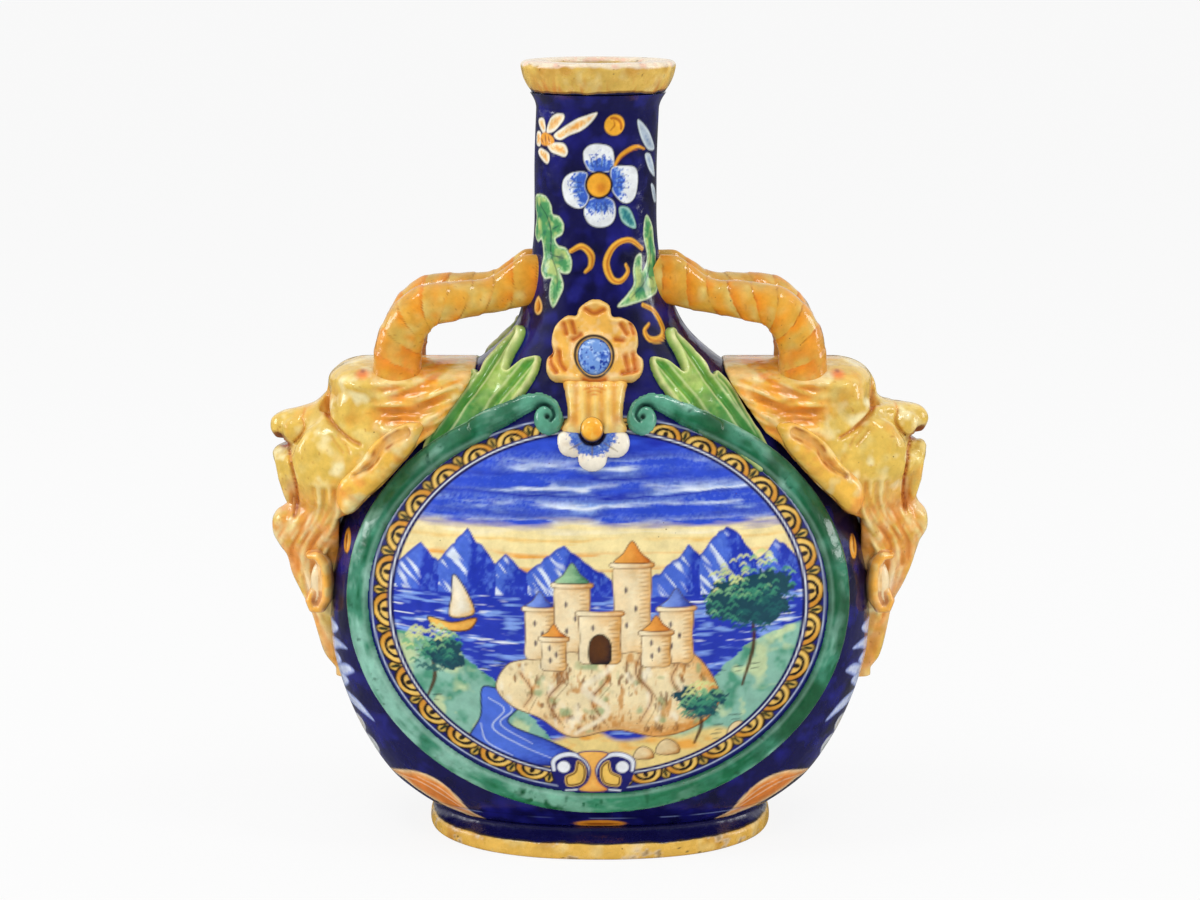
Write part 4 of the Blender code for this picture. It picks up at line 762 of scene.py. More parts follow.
def neck_paint(at, arc):
    p = np.stack([arc, at[:, 2]], -1)
    paint = cobalt_coat(at)
    warm, grey = ("F1EBDB", "F3D08A", "EA9A34"), ("C9D5DB", "A5B5C6", "8195B4")
    # Half flower above, cream running to orange at its heart
    for i, outline in enumerate(HALF_FLOWER):
        motif(paint, p, outline, *warm, shade=2.4 if i else 2.2)
    core = gap_to(p, [(-35, 362), (-31, 364.6), (-24.5, 362.6), (-23.4, 359.6), (-28, 358), (-34, 358.6)],
                  closed=True)
    lay(paint, cover(core), "ECA23C")
    strokes(paint, p, [[(-34, 361), (-32, 359)], [(-30.4, 363), (-29.4, 359)],
                       [(-27.6, 362.6), (-26.6, 359.4)]], BROWN, 1.0)
    # Ochre disc, comma and drops
    dot = np.hypot(p[:, 0] - 9, p[:, 1] - 369.1)
    lay(paint, cover(dot - 5.7), INK)
    lay(paint, cover(dot - 5.2), "F2AE33")
    lay(paint, cover(np.abs(np.hypot(p[:, 0] - 8, p[:, 1] - 368) - 4.6) - .7) * cover(dot - 4.6)
        * (p[:, 0] + p[:, 1] > 379), "B5651A")
    strokes(paint, p, [[(7, 366.5), (9, 369), (8.4, 371.5)]], "B5651A", .9)
    # Four-petalled flower
    heart = np.hypot(p[:, 0] - 1.8, p[:, 1] - 339.2)
    grain = noise(p, 1.1, 72, 2)
    lay(paint, cover(heart - 9), "1A2A96")
    for line in FOUR_PETALS:
        gap = gap_to(p, line, closed=True)
        lay(paint, cover(gap - .6), INK)
        lay(paint, cover(gap), "E6EAEC")
        lay(paint, cover(gap + .5) * held((14.6 - heart + 1.6 * grain) / 2), "6E97DC")
        lay(paint, cover(gap + .4) * held((13.6 - heart + 5 * grain) / 2.4) * .85, "2B52BE")
    for a in np.arange(4) * math.pi / 2 + .1:
        for b in (-.22, 0, .22):
            strokes(paint, p, [[(1.8 + r * math.cos(a + b), 339.2 + r * math.sin(a + b))
                                for r in (9, 12, 15.5)]], "2A2E5A", .55, .75)
    lay(paint, cover(heart - 7.1), "120E22")
    lay(paint, cover(heart - 5.9), "F0A930")
    lay(paint, cover(np.hypot(p[:, 0] - 3, p[:, 1] - 337.8) - 2.4, 1.2) * .7, "D5761E")
    strokes(paint, p, [[(10, 349.2), (12.8, 353.7), (18.1, 356.8), (22.8, 357.9), (28.1, 356.4)]], "F0A62A",
            2.4)
    strokes(paint, p, [[(11, 349.6), (13.8, 352.9), (18.5, 355.6), (23, 356.4)]], "B5651A", .6)
    motif(paint, p, [(12.3, 327.7), (17.1, 327.5), (20.5, 323.1), (22.3, 316.9), (17.1, 318.2),
                     (13.4, 321.6)], "9CC8BE", "3E9A92", "1C6A7A", shade=2)
    for outline in ([(22.2, 371.4), (29.9, 366.3), (34.7, 361.4), (38.8, 355.7), (31, 356.1), (24.8, 362.9)],
                    [(28.7, 353.4), (33.7, 353.2), (39, 346.3), (40, 341.6), (32.8, 345.7)],
                    [(35, 338), (40, 336), (44, 329), (39, 329.3)]):
        motif(paint, p, outline, *grey)
    # Green leaves at both sides
    for line in NECK_LEAVES:
        gap = motif(paint, p, line, "D5E4BC", "7DBB74", "2F8A50", band=.7, shade=1.8)
        lay(paint, cover(gap + 1.4) * held(1.6 * noise(p, 5, 73, 2)) * .7, "CFDD84")
        lay(paint, cover(gap + 1) * held(1.5 * noise(p, 4, 74, 2) - .2) * .7, "12605A")
    strokes(paint, p, [[(-35, 328), (-28, 322), (-25, 314), (-25, 304), (-21, 295), (-21, 286)],
                       [(-24, 316), (-20, 318)], [(-24, 303), (-17, 302)],
                       [(34, 312), (33, 300), (28, 290), (18, 282)],
                       [(30, 292), (34, 290)]], "123A3E", .8, .85)
    # Scrolls
    for line in ([(-12.8, 305.7), (-7.1, 308.3), (-2.4, 304.3), (-2.4, 298.7), (-5.2, 295.5)],
                 [(26.5, 306.1), (18.2, 311.1), (9.9, 308.7), (5.5, 300.5), (7.9, 292.2), (12.8, 290.7),
                  (17, 295), (15.9, 298.8)], LOW_SCROLL):
        scroll(paint, p, line)
    motif(paint, p, [(-34.6, 281.6), (-31.8, 278), (-32.2, 274.4), (-35.2, 272.4), (-37.8, 274.2),
                     (-37.6, 278)], "F0C070", "E9A03A", "D9862A", shade=1.6)
    strokes(paint, p, [[(-34.4, 279.6), (-33.6, 276.6), (-35, 274)]], BROWN, 1.0)
    return paint


# The wall from just under the joint to the lip: straight, with a hollow curve out to the lip
wall = [(261.9, *body_section(261.9)[:2])]
wall += [(z, *(body_section(z + .01)[:2])) for z in np.linspace(262.6, 324, 104)]
wall += [(z, NECK_SIZE / 2, NECK_SIZE / 2) for z in np.linspace(324.6, 375, 84)]
wall += [(z, r, r) for z, r in zip(np.linspace(375.6, 383.7, 16), NECK_SIZE / 2 + 3.4
                                   * np.linspace(0, 1, 16) ** 1.8)]
bore = [(383.7, 25, 25), (375, 24.8, 24.8), (340, 24.8, 24.8), (310, 25.2, 25.2), (290, 28, 27),
        (275, 33, 30), (262, 37.8, 30.3)]
columns, few = 430, 86
outer, inner = swept(wall, columns, neck_ring), swept(bore, few, neck_ring)
at = outer.reshape(-1, 3)
turn = np.tile(np.arange(columns) * 2 * math.pi / columns, len(wall))
radius = np.repeat([row[1] for row in wall], columns)
# Surface distance from the middle of the front, or of the back seen from behind
arc = np.where(np.sin(turn) < 0, radius * np.arctan2(np.cos(turn), -np.sin(turn)),
               radius * np.arctan2(-np.cos(turn), np.sin(turn)))
# The neck's inside is coloured dark grey-blue: painted shade down the bore
paint = np.concatenate([neck_paint(at, arc), ground(inner.reshape(-1, 3), "26264E", "15153A")])
faces = grid_faces(len(wall), columns, 0, True).tolist() + grid_faces(len(bore), few, len(at), True).tolist()
index, under = np.arange(len(at)).reshape(-1, columns), len(at) + np.arange(len(bore) * few).reshape(-1, few)
for a, b in ((index[-1], under[0]), (index[0], under[-1])):
    faces += zip_faces(a.tolist() + [int(a[0])], b.tolist() + [int(b[0])])
piece("neck", np.concatenate([at, inner.reshape(-1, 3)]), faces, paint, cobalt_glaze, fix=True)

# Mouth rim
# Rolled lip coil in yellow glaze, worn to a pale chipped zone on top, with orange streaks below.
# Height and radius round the coil
lip = curve([(384.2, 25), (384, 30), (384, 33.6), (385, 34.6), (387, 36), (389.4, 37.3), (392, 38.4),
             (394.8, 39.2), (397.2, 39.6), (398.8, 39.2), (399.7, 37.8), (400, 35.2), (400, 31.5),
             (399.8, 28.2), (399, 26), (397, 25), (391, 24.8)], closed=True, per=6)


def lip_ring(row, turn):
    at = neck_ring((row[0], row[1], row[1]), turn)
    push = .35 * noise(at, 11, 81, 2)
    return at + np.stack([np.cos(turn) * push, np.sin(turn) * push, 0 * turn], -1) * (row[1] > 26)


points = swept(lip, 330, lip_ring)
at = points.reshape(-1, 3)
out = np.hypot(at[:, 0] + 1, at[:, 1])
worn = noise(at, 6, 82, 3)
paint = ground(at, "DDB655", "E4C576", "CF9C40", size=7)
streak = noise(np.stack([np.arctan2(at[:, 1], at[:, 0]) * 40, at[:, 2] * .25], -1), 2.2, 83, 2)
lay(paint, held(1.4 * streak - .1) * held((394 - at[:, 2]) / 7) * .8, "CE8530")
top = cover(397.9 + .8 * worn - at[:, 2], .7)
lay(paint, top * .85, "EADCC6")
lay(paint, top * held(1.7 * noise(at, 4, 84, 3) - .2), "E8BFA6")
lay(paint, cover((.9 - worn) * 4, .5) * top, "9A7650")
lay(paint, cover((1.0 - noise(at, 1.6, 85, 2)) * 5, .4) * held((at[:, 2] - 390) / 6), "5A3A22")
low = 384.9 + .7 * noise(at * (1, 1, 0), 7, 86, 2)
lay(paint, cover(at[:, 2] - low, .3) * (out > 27), "14123F")
lay(paint, cover(np.abs(at[:, 2] - low - .4) - .35, .3) * (out > 27), "7A4A1C")
# Inside the lip the colour darkens down into the bore: painted shade
lay(paint, (out < 25.6).astype(float) * held((396 - at[:, 2]) / 4), "3A3448")
piece("mouth_rim", at, coil_faces(*points.shape[:2]), paint, yellow_glaze, fix=True)

# Frame rings
# A flat strip of clay round each face, its ends narrowed and rolled into volutes beside the stem;
# copper green glaze, pale on the edges and pooled dark. Modelled as a field over the body's face.
green_glaze = glaze("copper_green_glaze", gloss=.12, mottle=.22, specks=.6, ripple=.3)
# Where the stem's middle line stands, and the strip's oval: middle, half sizes, half its own width
AXIS, STRIP, STRIP_HALF = -2.4, (-1, 129.6, 122.4, 101.0), 5.3


def nets(field, low, step):
    """Points and faces of the closed surface on which the field is zero. The field is negative inside
    the form, and counts as positive past its grid."""
    field, low = np.pad(field, 1, constant_values=step), low - step
    inside = field < 0
    near = sum(inside[tuple(slice(c, c + n - 1) for c, n in zip(corner, field.shape))].astype(np.int8)
               for corner in np.ndindex(2, 2, 2))
    cells = np.argwhere((near > 0) & (near < 8))
    index = np.full(near.shape, -1)
    index[tuple(cells.T)] = np.arange(len(cells))
    total, count = np.zeros((len(cells), 3)), np.zeros(len(cells))
    for axis in range(3):
        for corner in np.ndindex(2, 2, 2):
            if corner[axis]:
                continue
            one = cells + corner
            two = one + np.eye(3, dtype=int)[axis]
            a, b = field[tuple(one.T)], field[tuple(two.T)]
            crossed = (a < 0) != (b < 0)
            here = np.tile(np.array(corner, float), (len(cells), 1))
            here[:, axis] += a / np.where(crossed, a - b, 1)
            total += here * crossed[:, None]
            count += crossed
    faces = []
    for axis in range(3):
        u, v = np.eye(3, dtype=int)[[(axis + 1) % 3, (axis + 2) % 3]]
        side = np.moveaxis(inside, axis, 0)
        at = np.argwhere(np.moveaxis(side[:-1] != side[1:], 0, axis))
        turned = ~inside[tuple(at.T)]
        quads = np.stack([index[tuple((at - shift).T)] for shift in (u + v, v, 0 * u, u)], -1)
        quads[turned] = quads[turned][:, ::-1]
        faces.append(quads)
    return low + step * (cells + total / count[:, None]), np.concatenate(faces)


def relief(low, high, step, height, place, base=-.6):
    """A closed low relief. Height gives its top over two coordinates, and place lays it on the body."""
    u, v = (np.arange(low[i], high[i] + step, step) for i in (0, 1))
    at = np.stack(np.meshgrid(u, v, indexing="ij"), -1)
    top = height(at)
    w = np.arange(base - 2 * step, top.max() + 3 * step, step)
    flat, faces = nets(np.maximum(w - top[..., None], base - w), np.array([low[0], low[1], w[0]]), step)
    return flat, place(flat[:, 0], flat[:, 1], flat[:, 2]), faces


def on_face(side):
    """Lays a relief on the body's front (side -1) or back."""
    return lambda x, z, height: face(x, z, height, side)


def pillow(gap, top, roll):
    """Height of a form with rolled edges, from the distance to its outline."""
    t = held(1 + gap / roll)
    return np.where(gap < 0, top * np.sqrt(np.maximum(1 - t * t, 0)), -2 - gap)


def dip(gap, width, depth):
    return depth * np.exp(-(gap / width) ** 2)


def foot_outline_and_shade(paint, flat, code, top=.9, fade=.8, much=1.0):
    """Dark colour round the foot of a relief: partly a dark outline, partly painted shade where it meets the
    body.
    """
    lay(paint, held((top - flat[:, 2]) / fade) * much, code)


# The rolled end: its outer edge, and the line of the groove
COIL_RIM = [(-62, 217.3), (-56, 220.3), (-49, 223.6), (-42, 227.2), (-35, 230.3), (-28.5, 231.6),
            (-23.2, 229.9), (-20.3, 226), (-20.4, 221), (-23, 218)]
COIL_LINE = [(-34.6, 221), (-33.2, 225.6), (-30.3, 228.7), (-26.6, 229.3), (-23.6, 227.3), (-22.5, 224.2),
             (-24.2, 221.8)]


def ring_gap(at):
    """Distance to the strip's edge, distance across it, and the coil's own coordinates."""
    x, z = at[..., 0] - STRIP[0], at[..., 1] - STRIP[1]
    k = np.hypot(x / STRIP[2], z / STRIP[3])
    across = (k - 1) * k / np.hypot(x / STRIP[2] ** 2, z / STRIP[3] ** 2) + .8
    strip = np.abs(across) - STRIP_HALF
    strip = strip + np.where(z > 70, held((54 - np.abs(at[..., 0] - AXIS)) / 14) * 9, 0)
    q = np.stack([AXIS - np.abs(at[..., 0] - AXIS), at[..., 1]], -1)
    return strip, across, q


def ring_top(at):
    strip, across, q = ring_gap(at)
    coil = gap_to(q, COIL_RIM, [10, 11.6, 11.4, 10.4, 9.2, 7.8, 6.4, 5, 4, 2.6], reach=12)
    disc = np.hypot(q[..., 0] + 25.7, q[..., 1] - 223.6) - 7.7
    band = pillow(np.minimum(strip, coil), 4.3, 2.6)
    swell = .5 * (1 - (across / STRIP_HALF) ** 2) - dip(np.abs(across) - 3.9, .5, .25)
    band = np.where(strip < 0, band + swell, band)
    top = np.maximum(band, pillow(disc, 5.6, 5.5))
    top = np.maximum(top, np.where(coil < 0, pillow(coil, 6.0, 3.2), -2))
    eye = np.hypot(q[..., 0] + 25.8, q[..., 1] - 223.5)
    top -= np.where(top > 0, dip(gap_to(q, COIL_LINE), .8, 2.4) + dip(eye, 1.1, 2.6), 0)
    return top + .12 * noise(at, 9, 91, 2)


def ring_paint(flat):
    at = flat[:, :2]
    strip, across, q = ring_gap(at)
    x, z = at[:, 0] - STRIP[0], at[:, 1] - STRIP[1]
    drift = np.stack([x * .35, z * .35, across], -1)
    paint = ground(drift, "3E8468", size=4, seed=92)
    pool = noise(drift, 5.5, 93, 3)
    pale = held(-x / 60) * held((46 - z) / 30)
    lay(paint, 1.5 * pool - .25 + .4 * pale, "86BAA6")
    lay(paint, -1.7 * pool - .2 - .2 * pale, "17613F")
    lay(paint, held(np.maximum(x / 70, (z - 20) / 60)) * held(.6 + .9 * noise(at, 14, 96, 2)) * .95, "1A5433")
    lay(paint, 1.6 * noise(at, 3.2, 94, 3) - .95, "0B4A34")
    under = held((60 - at[:, 1]) / 30)
    lay(paint, under * (2.4 * noise(at, 4.5, 95, 2) - 1.0), "0F3A24")
    lay(paint, under * .35, "1E8450")
    # Pale lines along both edges: glaze running thin over the rolled edges, and painted highlights
    rim = cover(np.abs(np.abs(across) - 4.5) - .3, .5) * (strip < 1)
    lay(paint, rim * .55 * (across > 0), "C4DDCB")
    lay(paint, rim * .3 * (across < 0), "A9D2C0")
    coil = cover(np.hypot(q[:, 0] + 27, q[:, 1] - 226) - 13, 2)
    lay(paint, coil * .5, "6FB79C")
    lay(paint, cover(np.abs(gap_to(q, COIL_LINE)) - .7, .5) * .9, "0F3B36")
    lay(paint, cover(np.hypot(q[:, 0] + 25.8, q[:, 1] - 223.5) - 1.3, .5), "1C3A32")
    # Dark blue at the ring's foot: outline and painted shade where it meets the body
    foot_outline_and_shade(paint, flat, "15205A", much=.9)
    return paint


for side, end in ((-1, "front"), (1, "back")):
    flat, points, faces = relief((-133, 20), (131, 241), .66, ring_top, on_face(side))
    piece("frame_ring_" + end, points, faces, ring_paint(flat), green_glaze, sharp=0)

# Acanthus leaves
# Two-lobed leaves that grow out of each ring up the shoulder; pressed clay with raised rims and
# veins, in leaf green glaze, yellow where it runs thin. Outline and veins: reach from the axis,
# height. The turn round the shoulder is counted as a length at this radius.
SHOULDER_RADIUS = 60
LEAF_EDGE = [(88.5, 209), (82, 218.3), (77.1, 225.6), (72.4, 233.3), (66.1, 240.5), (62.4, 242.6),
             (60.4, 241.4), (57.4, 246.4), (49.7, 254.8), (44, 261), (39.9, 265.4), (37.6, 264.2),
             (38.7, 259.1), (42.9, 251.8), (46, 244.4), (43.5, 246.1), (37.8, 250.4), (31.3, 252.6),
             (29.4, 251), (30.6, 245.7), (33.4, 240.4), (36.8, 235.5), (41, 230), (48, 224), (58, 217),
             (68, 210), (78, 202), (86, 196), (90, 202)]
VEINS = ([(86, 206), (76, 217), (66, 229), (57, 240), (49, 251), (42, 261)],
         [(70, 213), (58, 222), (48, 233), (39, 243), (33, 249.5)],
         [(87, 209), (78, 222), (69, 235), (64, 240)])


def shoulder(turn, z, height, hand, side):
    """Point off the body at this turn from its flank towards its face."""
    def skin(turn_there, z_there):
        x, y = oval(*body_section(z_there), turn_there)
        return np.stack([hand * x, side * y, z_there + 0 * x], -1)

    here = skin(turn, z)
    out = np.cross(skin(turn + .02, z) - skin(turn - .02, z), skin(turn, z + .7) - skin(turn, z - .7))
    out *= (np.sign((out[..., :2] * here[..., :2]).sum(-1)) / np.linalg.norm(out, axis=-1))[..., None]
    return here + out * height[..., None]


for hand in (-1, 1):
    shift = 0 if hand < 0 else -4.8

    def on_leaf(at):
        x, _ = oval(*body_section(at[..., 1]), at[..., 0] / SHOULDER_RADIUS)
        return np.stack([x - shift, at[..., 1]], -1)

    def leaf_top(at):
        q = on_leaf(at)
        gap = gap_to(q, LEAF_EDGE, closed=True)
        top = pillow(gap, 4.6, 2.6) + np.where(gap < 0, dip(gap + 1.5, 1.0, .9), 0)
        for line, deep in zip(VEINS, (1.7, 1.5, 1.2)):
            top -= np.where(gap < 0, dip(gap_to(q, line), 1.5, deep) * held(-gap / 2), 0)
        clear = held(ring_gap(q * (hand, 1))[0] / 5)
        return np.where(gap < 0, (top + .3 * noise(q, 5, 101, 2)) * mix(.45, 1, clear), top)

    def leaf_paint(flat):
        q = on_leaf(flat[:, :2])
        gap = gap_to(q, LEAF_EDGE, closed=True)
        vein = np.min([gap_to(q, line) for line in VEINS], 0)
        paint = ground(q, "7CA844", "569638", size=7, seed=102)
        lay(paint, 1.5 * noise(q, 6, 103, 3) - .1, "A4BE62")
        low = held((237 - q[:, 1] + .25 * (q[:, 0] - 60)) / 19)
        lay(paint, low * .8, "35864A")
        lay(paint, low * held(.2 + 1.6 * noise(q, 7, 104, 2)) * .9, "176A3A")
        lay(paint, cover(np.abs(vein) - .9, .9) * .65, "3E8A34")
        # Pale line on the shoulder of each vein: painted highlight
        lay(paint, cover(np.abs(vein - 2.2) - .35, .4) * .6, "DCE4A8")
        lay(paint, cover(np.abs(gap + 1.3) - .8, .6) * .85, "CFDA8C")
        # Broken near-white line along the raised rim: painted highlight
        lay(paint, cover(np.abs(gap + 1.2) - .3, .4) * held(noise(q, 6, 105) + .3), "EFE9B4")
        # Dark blue at the leaf's foot: outline and painted shade where it meets the body
        foot_outline_and_shade(paint, flat, "1A2A56", fade=.7, much=.9)
        return paint

    for side, end in ((-1, "front"), (1, "back")):
        def on_shoulder(travel, z, height):
            return shoulder(travel / SHOULDER_RADIUS, z, height, hand, side)

        flat, points, faces = relief((10, 194), (84, 268), .55, leaf_top, on_shoulder)
        piece(f"acanthus_leaf_{'left' if hand < 0 else 'right'}_{end}", points, faces, leaf_paint(flat),
              green_glaze, sharp=0)

# Palmette, stem, cabochon, flower and boss
# Moulded sprigs luted down the middle of the shoulder: an ochre fan of lobes and its fluted stem,
# a blue cabochon, a three-petalled white flower and an ochre boss, outlined in dark blue, which at their feet
# is also painted shade.
ochre_glaze = glaze("ochre_glaze", gloss=.12, mottle=.14, specks=.5, ripple=.35)
# Middle of the cabochon, then outlines and drawn marks: distance from the middle of the face, height
GEM_X, GEM_Z = -2.7, 252.6
FAN = [(-18.6, 240.6), (-23.5, 241), (-26.5, 244.3), (-26.9, 248.2), (-26, 251.6), (-23.4, 254.6),
       (-24, 258.5), (-23.3, 263.6), (-21.1, 268.8), (-16.2, 273.3), (-11.8, 273.6), (-10.2, 277.4),
       (-5.8, 281), (-2.6, 282), (.6, 281.5), (4.8, 278.6), (6.2, 273.4), (10.6, 272.7), (15.9, 269.4),
       (18.4, 264.2), (19, 258.5), (18.4, 254.6), (21.2, 251.6), (21.8, 247.9), (20.6, 243.9), (17, 241),
       (13.4, 240.6), (-2.6, 239.4)]
MARKS = ([(-6.8, 277), (-2.7, 274.8), (1.6, 276.6)], [(-17.1, 269), (-16, 264)],
         [(-13.2, 270), (-12, 264.6)], [(-12.8, 261.2), (-9.2, 263.6)], [(10, 269), (12.8, 264)],
         [(14.4, 269), (16, 264)], [(7.6, 261.4), (10.6, 260.8)],
         [(-23.2, 254.6), (-23.9, 249.2), (-21.4, 244.6)], [(-19.8, 254.6), (-19.3, 249.2), (-17.1, 246.2)],
         [(16, 253.6), (17.2, 247)], [(12.2, 252.6), (13.8, 246.4)], [(11, 244.4), (18, 245.4)],
         [(-8, 241.6), (-2.8, 240.6), (2.4, 241.6)])
STEM = [(-17.4, 241.4), (-17.6, 236), (-16.6, 230), (-16.4, 224), (-18.4, 217.4), (-3, 215.6),
        (12.8, 217.4), (11.6, 224), (11.8, 230), (12.8, 236), (12.6, 241.4), (-2.4, 241.6)]
STEM_HALF = 15.4


def fan_top(at):
    gap = gap_to(at, FAN, closed=True)
    top = pillow(gap, 4.6, 3.0) + np.where(gap < 0, dip(gap + 2, 1.2, .8), 0)
    for line in MARKS:
        top -= np.where(gap < -1, dip(np.maximum(gap_to(at, line, 1.0), 0), .9, 1.9), 0)
    bezel = oval_gap(at[..., 0] - GEM_X, at[..., 1] - GEM_Z, 9.6, 11.2, 10)
    return top + np.where(gap < 0, dip(bezel, 1.3, 1.6), 0)


def fan_paint(flat):
    at = flat[:, :2]
    gap = gap_to(at, FAN, closed=True)
    mark = np.min([gap_to(at, line, 1.0) for line in MARKS], 0)
    paint = ground(at, "EDB450", "F1C880", size=5, seed=111)
    lay(paint, held(1.6 * noise(at, 4, 120, 2)) * .7, "EFCB92")
    lay(paint, cover(np.abs(gap + 1.6) - .9, .7) * .6, "F3D488")
    lay(paint, cover(mark - 1.1, 1.1) * .75, "E08E38")
    lay(paint, cover(mark - .1, .6) * .8, "BE5A1A")
    bezel = oval_gap(at[:, 0] - GEM_X, at[:, 1] - GEM_Z, 9.2, 10.8, 9.8)
    lay(paint, cover(np.abs(bezel + .2) - .6, .4), "3A2A20")
    # Dark blue at the fan's foot: outline and painted shade where it meets the body
    foot_outline_and_shade(paint, flat, "101038", 1.0)
    return paint


def stem_top(at):
    gap = gap_to(at, STEM, closed=True)
    across = (at[..., 0] - AXIS) / STEM_HALF
    flute = .5 + .5 * np.cos(across * 2.5 * 2 * math.pi)
    top = pillow(gap, 6.2, 5.0)
    return top - np.where(gap < 0, 1.1 * (1 - flute) ** 1.5 * held(-gap / 3), 0)


def stem_paint(flat):
    at = flat[:, :2]
    across = (at[:, 0] - AXIS) / STEM_HALF
    paint = ground(at, "EDBE5C", "F2D184", size=6, seed=112)
    lay(paint, (.5 - .5 * np.cos(across * 5 * math.pi)) ** 2 * .5, "DC8626")
    # Narrow pale stripes on the ridges between the flutes: painted highlights
    lay(paint, (.5 + .5 * np.cos(across * 5 * math.pi)) ** 6 * .45, "F3D890")
    lay(paint, held((226 - at[:, 1]) / 9) * held(.4 + noise(at, 5, 113, 2)) * .6, "F1DF9A")
    for x in (-14, 9):
        lay(paint, cover(np.hypot(at[:, 0] - x, at[:, 1] - 222.5) - 2.4, 1.5) * .6, "B96A1C")
    aside = at[:, 0] - GEM_X
    for level in (236.4, 234.6, 232.8):
        chevron = cover(np.abs(at[:, 1] - level + .05 * aside ** 2 - 1) - .4, .4)
        lay(paint, chevron * cover(np.abs(aside) - 5.4 + (236.4 - level), .8) * .7, "D9701C")
    # Dark blue at the stem's foot: outline and painted shade where it meets the body
    foot_outline_and_shade(paint, flat, "14124A", 1.0)
    return paint


PETALS = ([(-8.4, 217.5), (-14, 218.6), (-20.3, 217.2), (-21.4, 212.6), (-19.4, 207.6), (-14.6, 205.8),
           (-10.2, 206.4), (-6.2, 211)],
          [(.6, 217.5), (7, 218.6), (13.2, 217.2), (15, 212.6), (13.4, 208), (9, 205.6), (3.6, 206.2),
           (-1.4, 211)],
          [(-9.8, 211), (-11.2, 206), (-9.6, 201.4), (-4, 199), (1.8, 201.2), (3.8, 206), (2.2, 211),
           (-3.8, 214)])


def flower_top(at):
    top = np.full(at.shape[:-1], -9.0)
    for line in PETALS:
        top = np.maximum(top, pillow(gap_to(at, line, closed=True), 3.4, 3.2))
    return top


def flower_paint(flat):
    at = flat[:, :2]
    heart = np.hypot(at[:, 0] + 3.8, at[:, 1] - 217.6)
    grain = noise(at, .9, 114, 2)
    paint = ground(at, "ECE4D2", "E2D6C0", size=6, seed=115)
    lay(paint, (12.6 - heart + 2 * grain) / 1.6, "3D62C4")
    lay(paint, held((11.2 - heart + 2.5 * grain) / 2) * held(.5 + grain), "6E8ECF")
    strokes(paint, at, [[(-3.8, 210.5), (-3.9, 205)], [(-9, 212), (-15, 209)],
                        [(2, 212), (8.6, 208)]], "7A6A4A", .7, .8)
    lay(paint, cover(heart - 7.2, .4), "1A1430")
    # Dark blue at the flower's foot: outline and painted shade where it meets the body
    foot_outline_and_shade(paint, flat, "14124A", fade=.7)
    return paint


def button_top(x, z, half_x, half_z, low, rise):
    """Height of a domed oval button that starts this low."""
    return lambda at: low + pillow(oval_gap(at[..., 0] - x, at[..., 1] - z, half_x, half_z, half_x), rise,
                                   half_x * .9)


def cabochon_paint(flat):
    at = flat[:, :2]
    paint = ground(at, "6E96D6", "3A62BE", size=3, seed=116)
    lay(paint, 2.2 * noise(at, 1.6, 117, 2) - .4, "A8C4EA")
    lay(paint, 2.2 * noise(at, 1.5, 118, 2) - .7, "1E3C9C")
    lay(paint, cover(-oval_gap(at[:, 0] - GEM_X, at[:, 1] - GEM_Z, 7.6, 9.2, 8), .7), "1A2048")
    return paint


def boss_paint(flat):
    at = flat[:, :2]
    paint = ground(at, "F3AE36", "F2C050", size=4, seed=119)
    lay(paint, cover(np.hypot(at[:, 0] + 1, at[:, 1] - 215) - 2.5, 2) * .5, "D77A1C")
    lay(paint, cover(-(np.hypot(at[:, 0] + 3.9, at[:, 1] - 217.6) - 5.3), .5), "120E20")
    return paint


gem_top = button_top(GEM_X, GEM_Z, 8.3, 9.9, 3.6, 4.4)
boss_top = button_top(-3.9, 217.6, 5.9, 5.9, 5.6, 4.6)
# Each moulded piece: its grid's corners and step, its height, paint, glaze, underside and slot
SPRIG = (("palmette", (-30, 235), (25, 285), .44, fan_top, fan_paint, ochre_glaze, -.6, "orange"),
         ("palmette_stem", (-22, 213), (17, 244), .42, stem_top, stem_paint, ochre_glaze, -.6, "orange"),
         ("flower", (-24, 197), (18, 221), .4, flower_top, flower_paint, painted_glaze, -.6, "flower"),
         ("cabochon", (-13, 240), (8, 265), .36, gem_top, cabochon_paint, painted_glaze, 2.6, "cabochon"),
         ("flower_boss", (-12, 210), (5, 226), .3, boss_top, boss_paint, ochre_glaze, 1.4, "ochre"))
for side, end in ((-1, "front"), (1, "back")):
    for name, low, high, step, top, paint_of, coat, base, slot in SPRIG:
        flat, points, faces = relief(low, high, step, top, on_face(side), base)
        piece(f"{name}_{end}", points, faces, paint_of(flat), coat, sharp=0)

# Satyr masks
# Mask at each shoulder, the root of the horns: forehead, brow, snub nose, open mouth, moustache
# and a beard in locks. Modelled clay in yellow and flesh glazes; its level sections give the mass,
# then lumps, rolls and grooves are laid on. Reach from the axis, depth, height.
flesh_glaze = glaze("yellow_flesh_glaze", gloss=.11, mottle=.16, specks=.8, ripple=.35)
MASK_TOP, MASK_TALL, MASK_REACH, MASK_HALF, MASK_OVALITY, NOSE_RIDGE = 246, 164, 171, 46, 2.3, 13
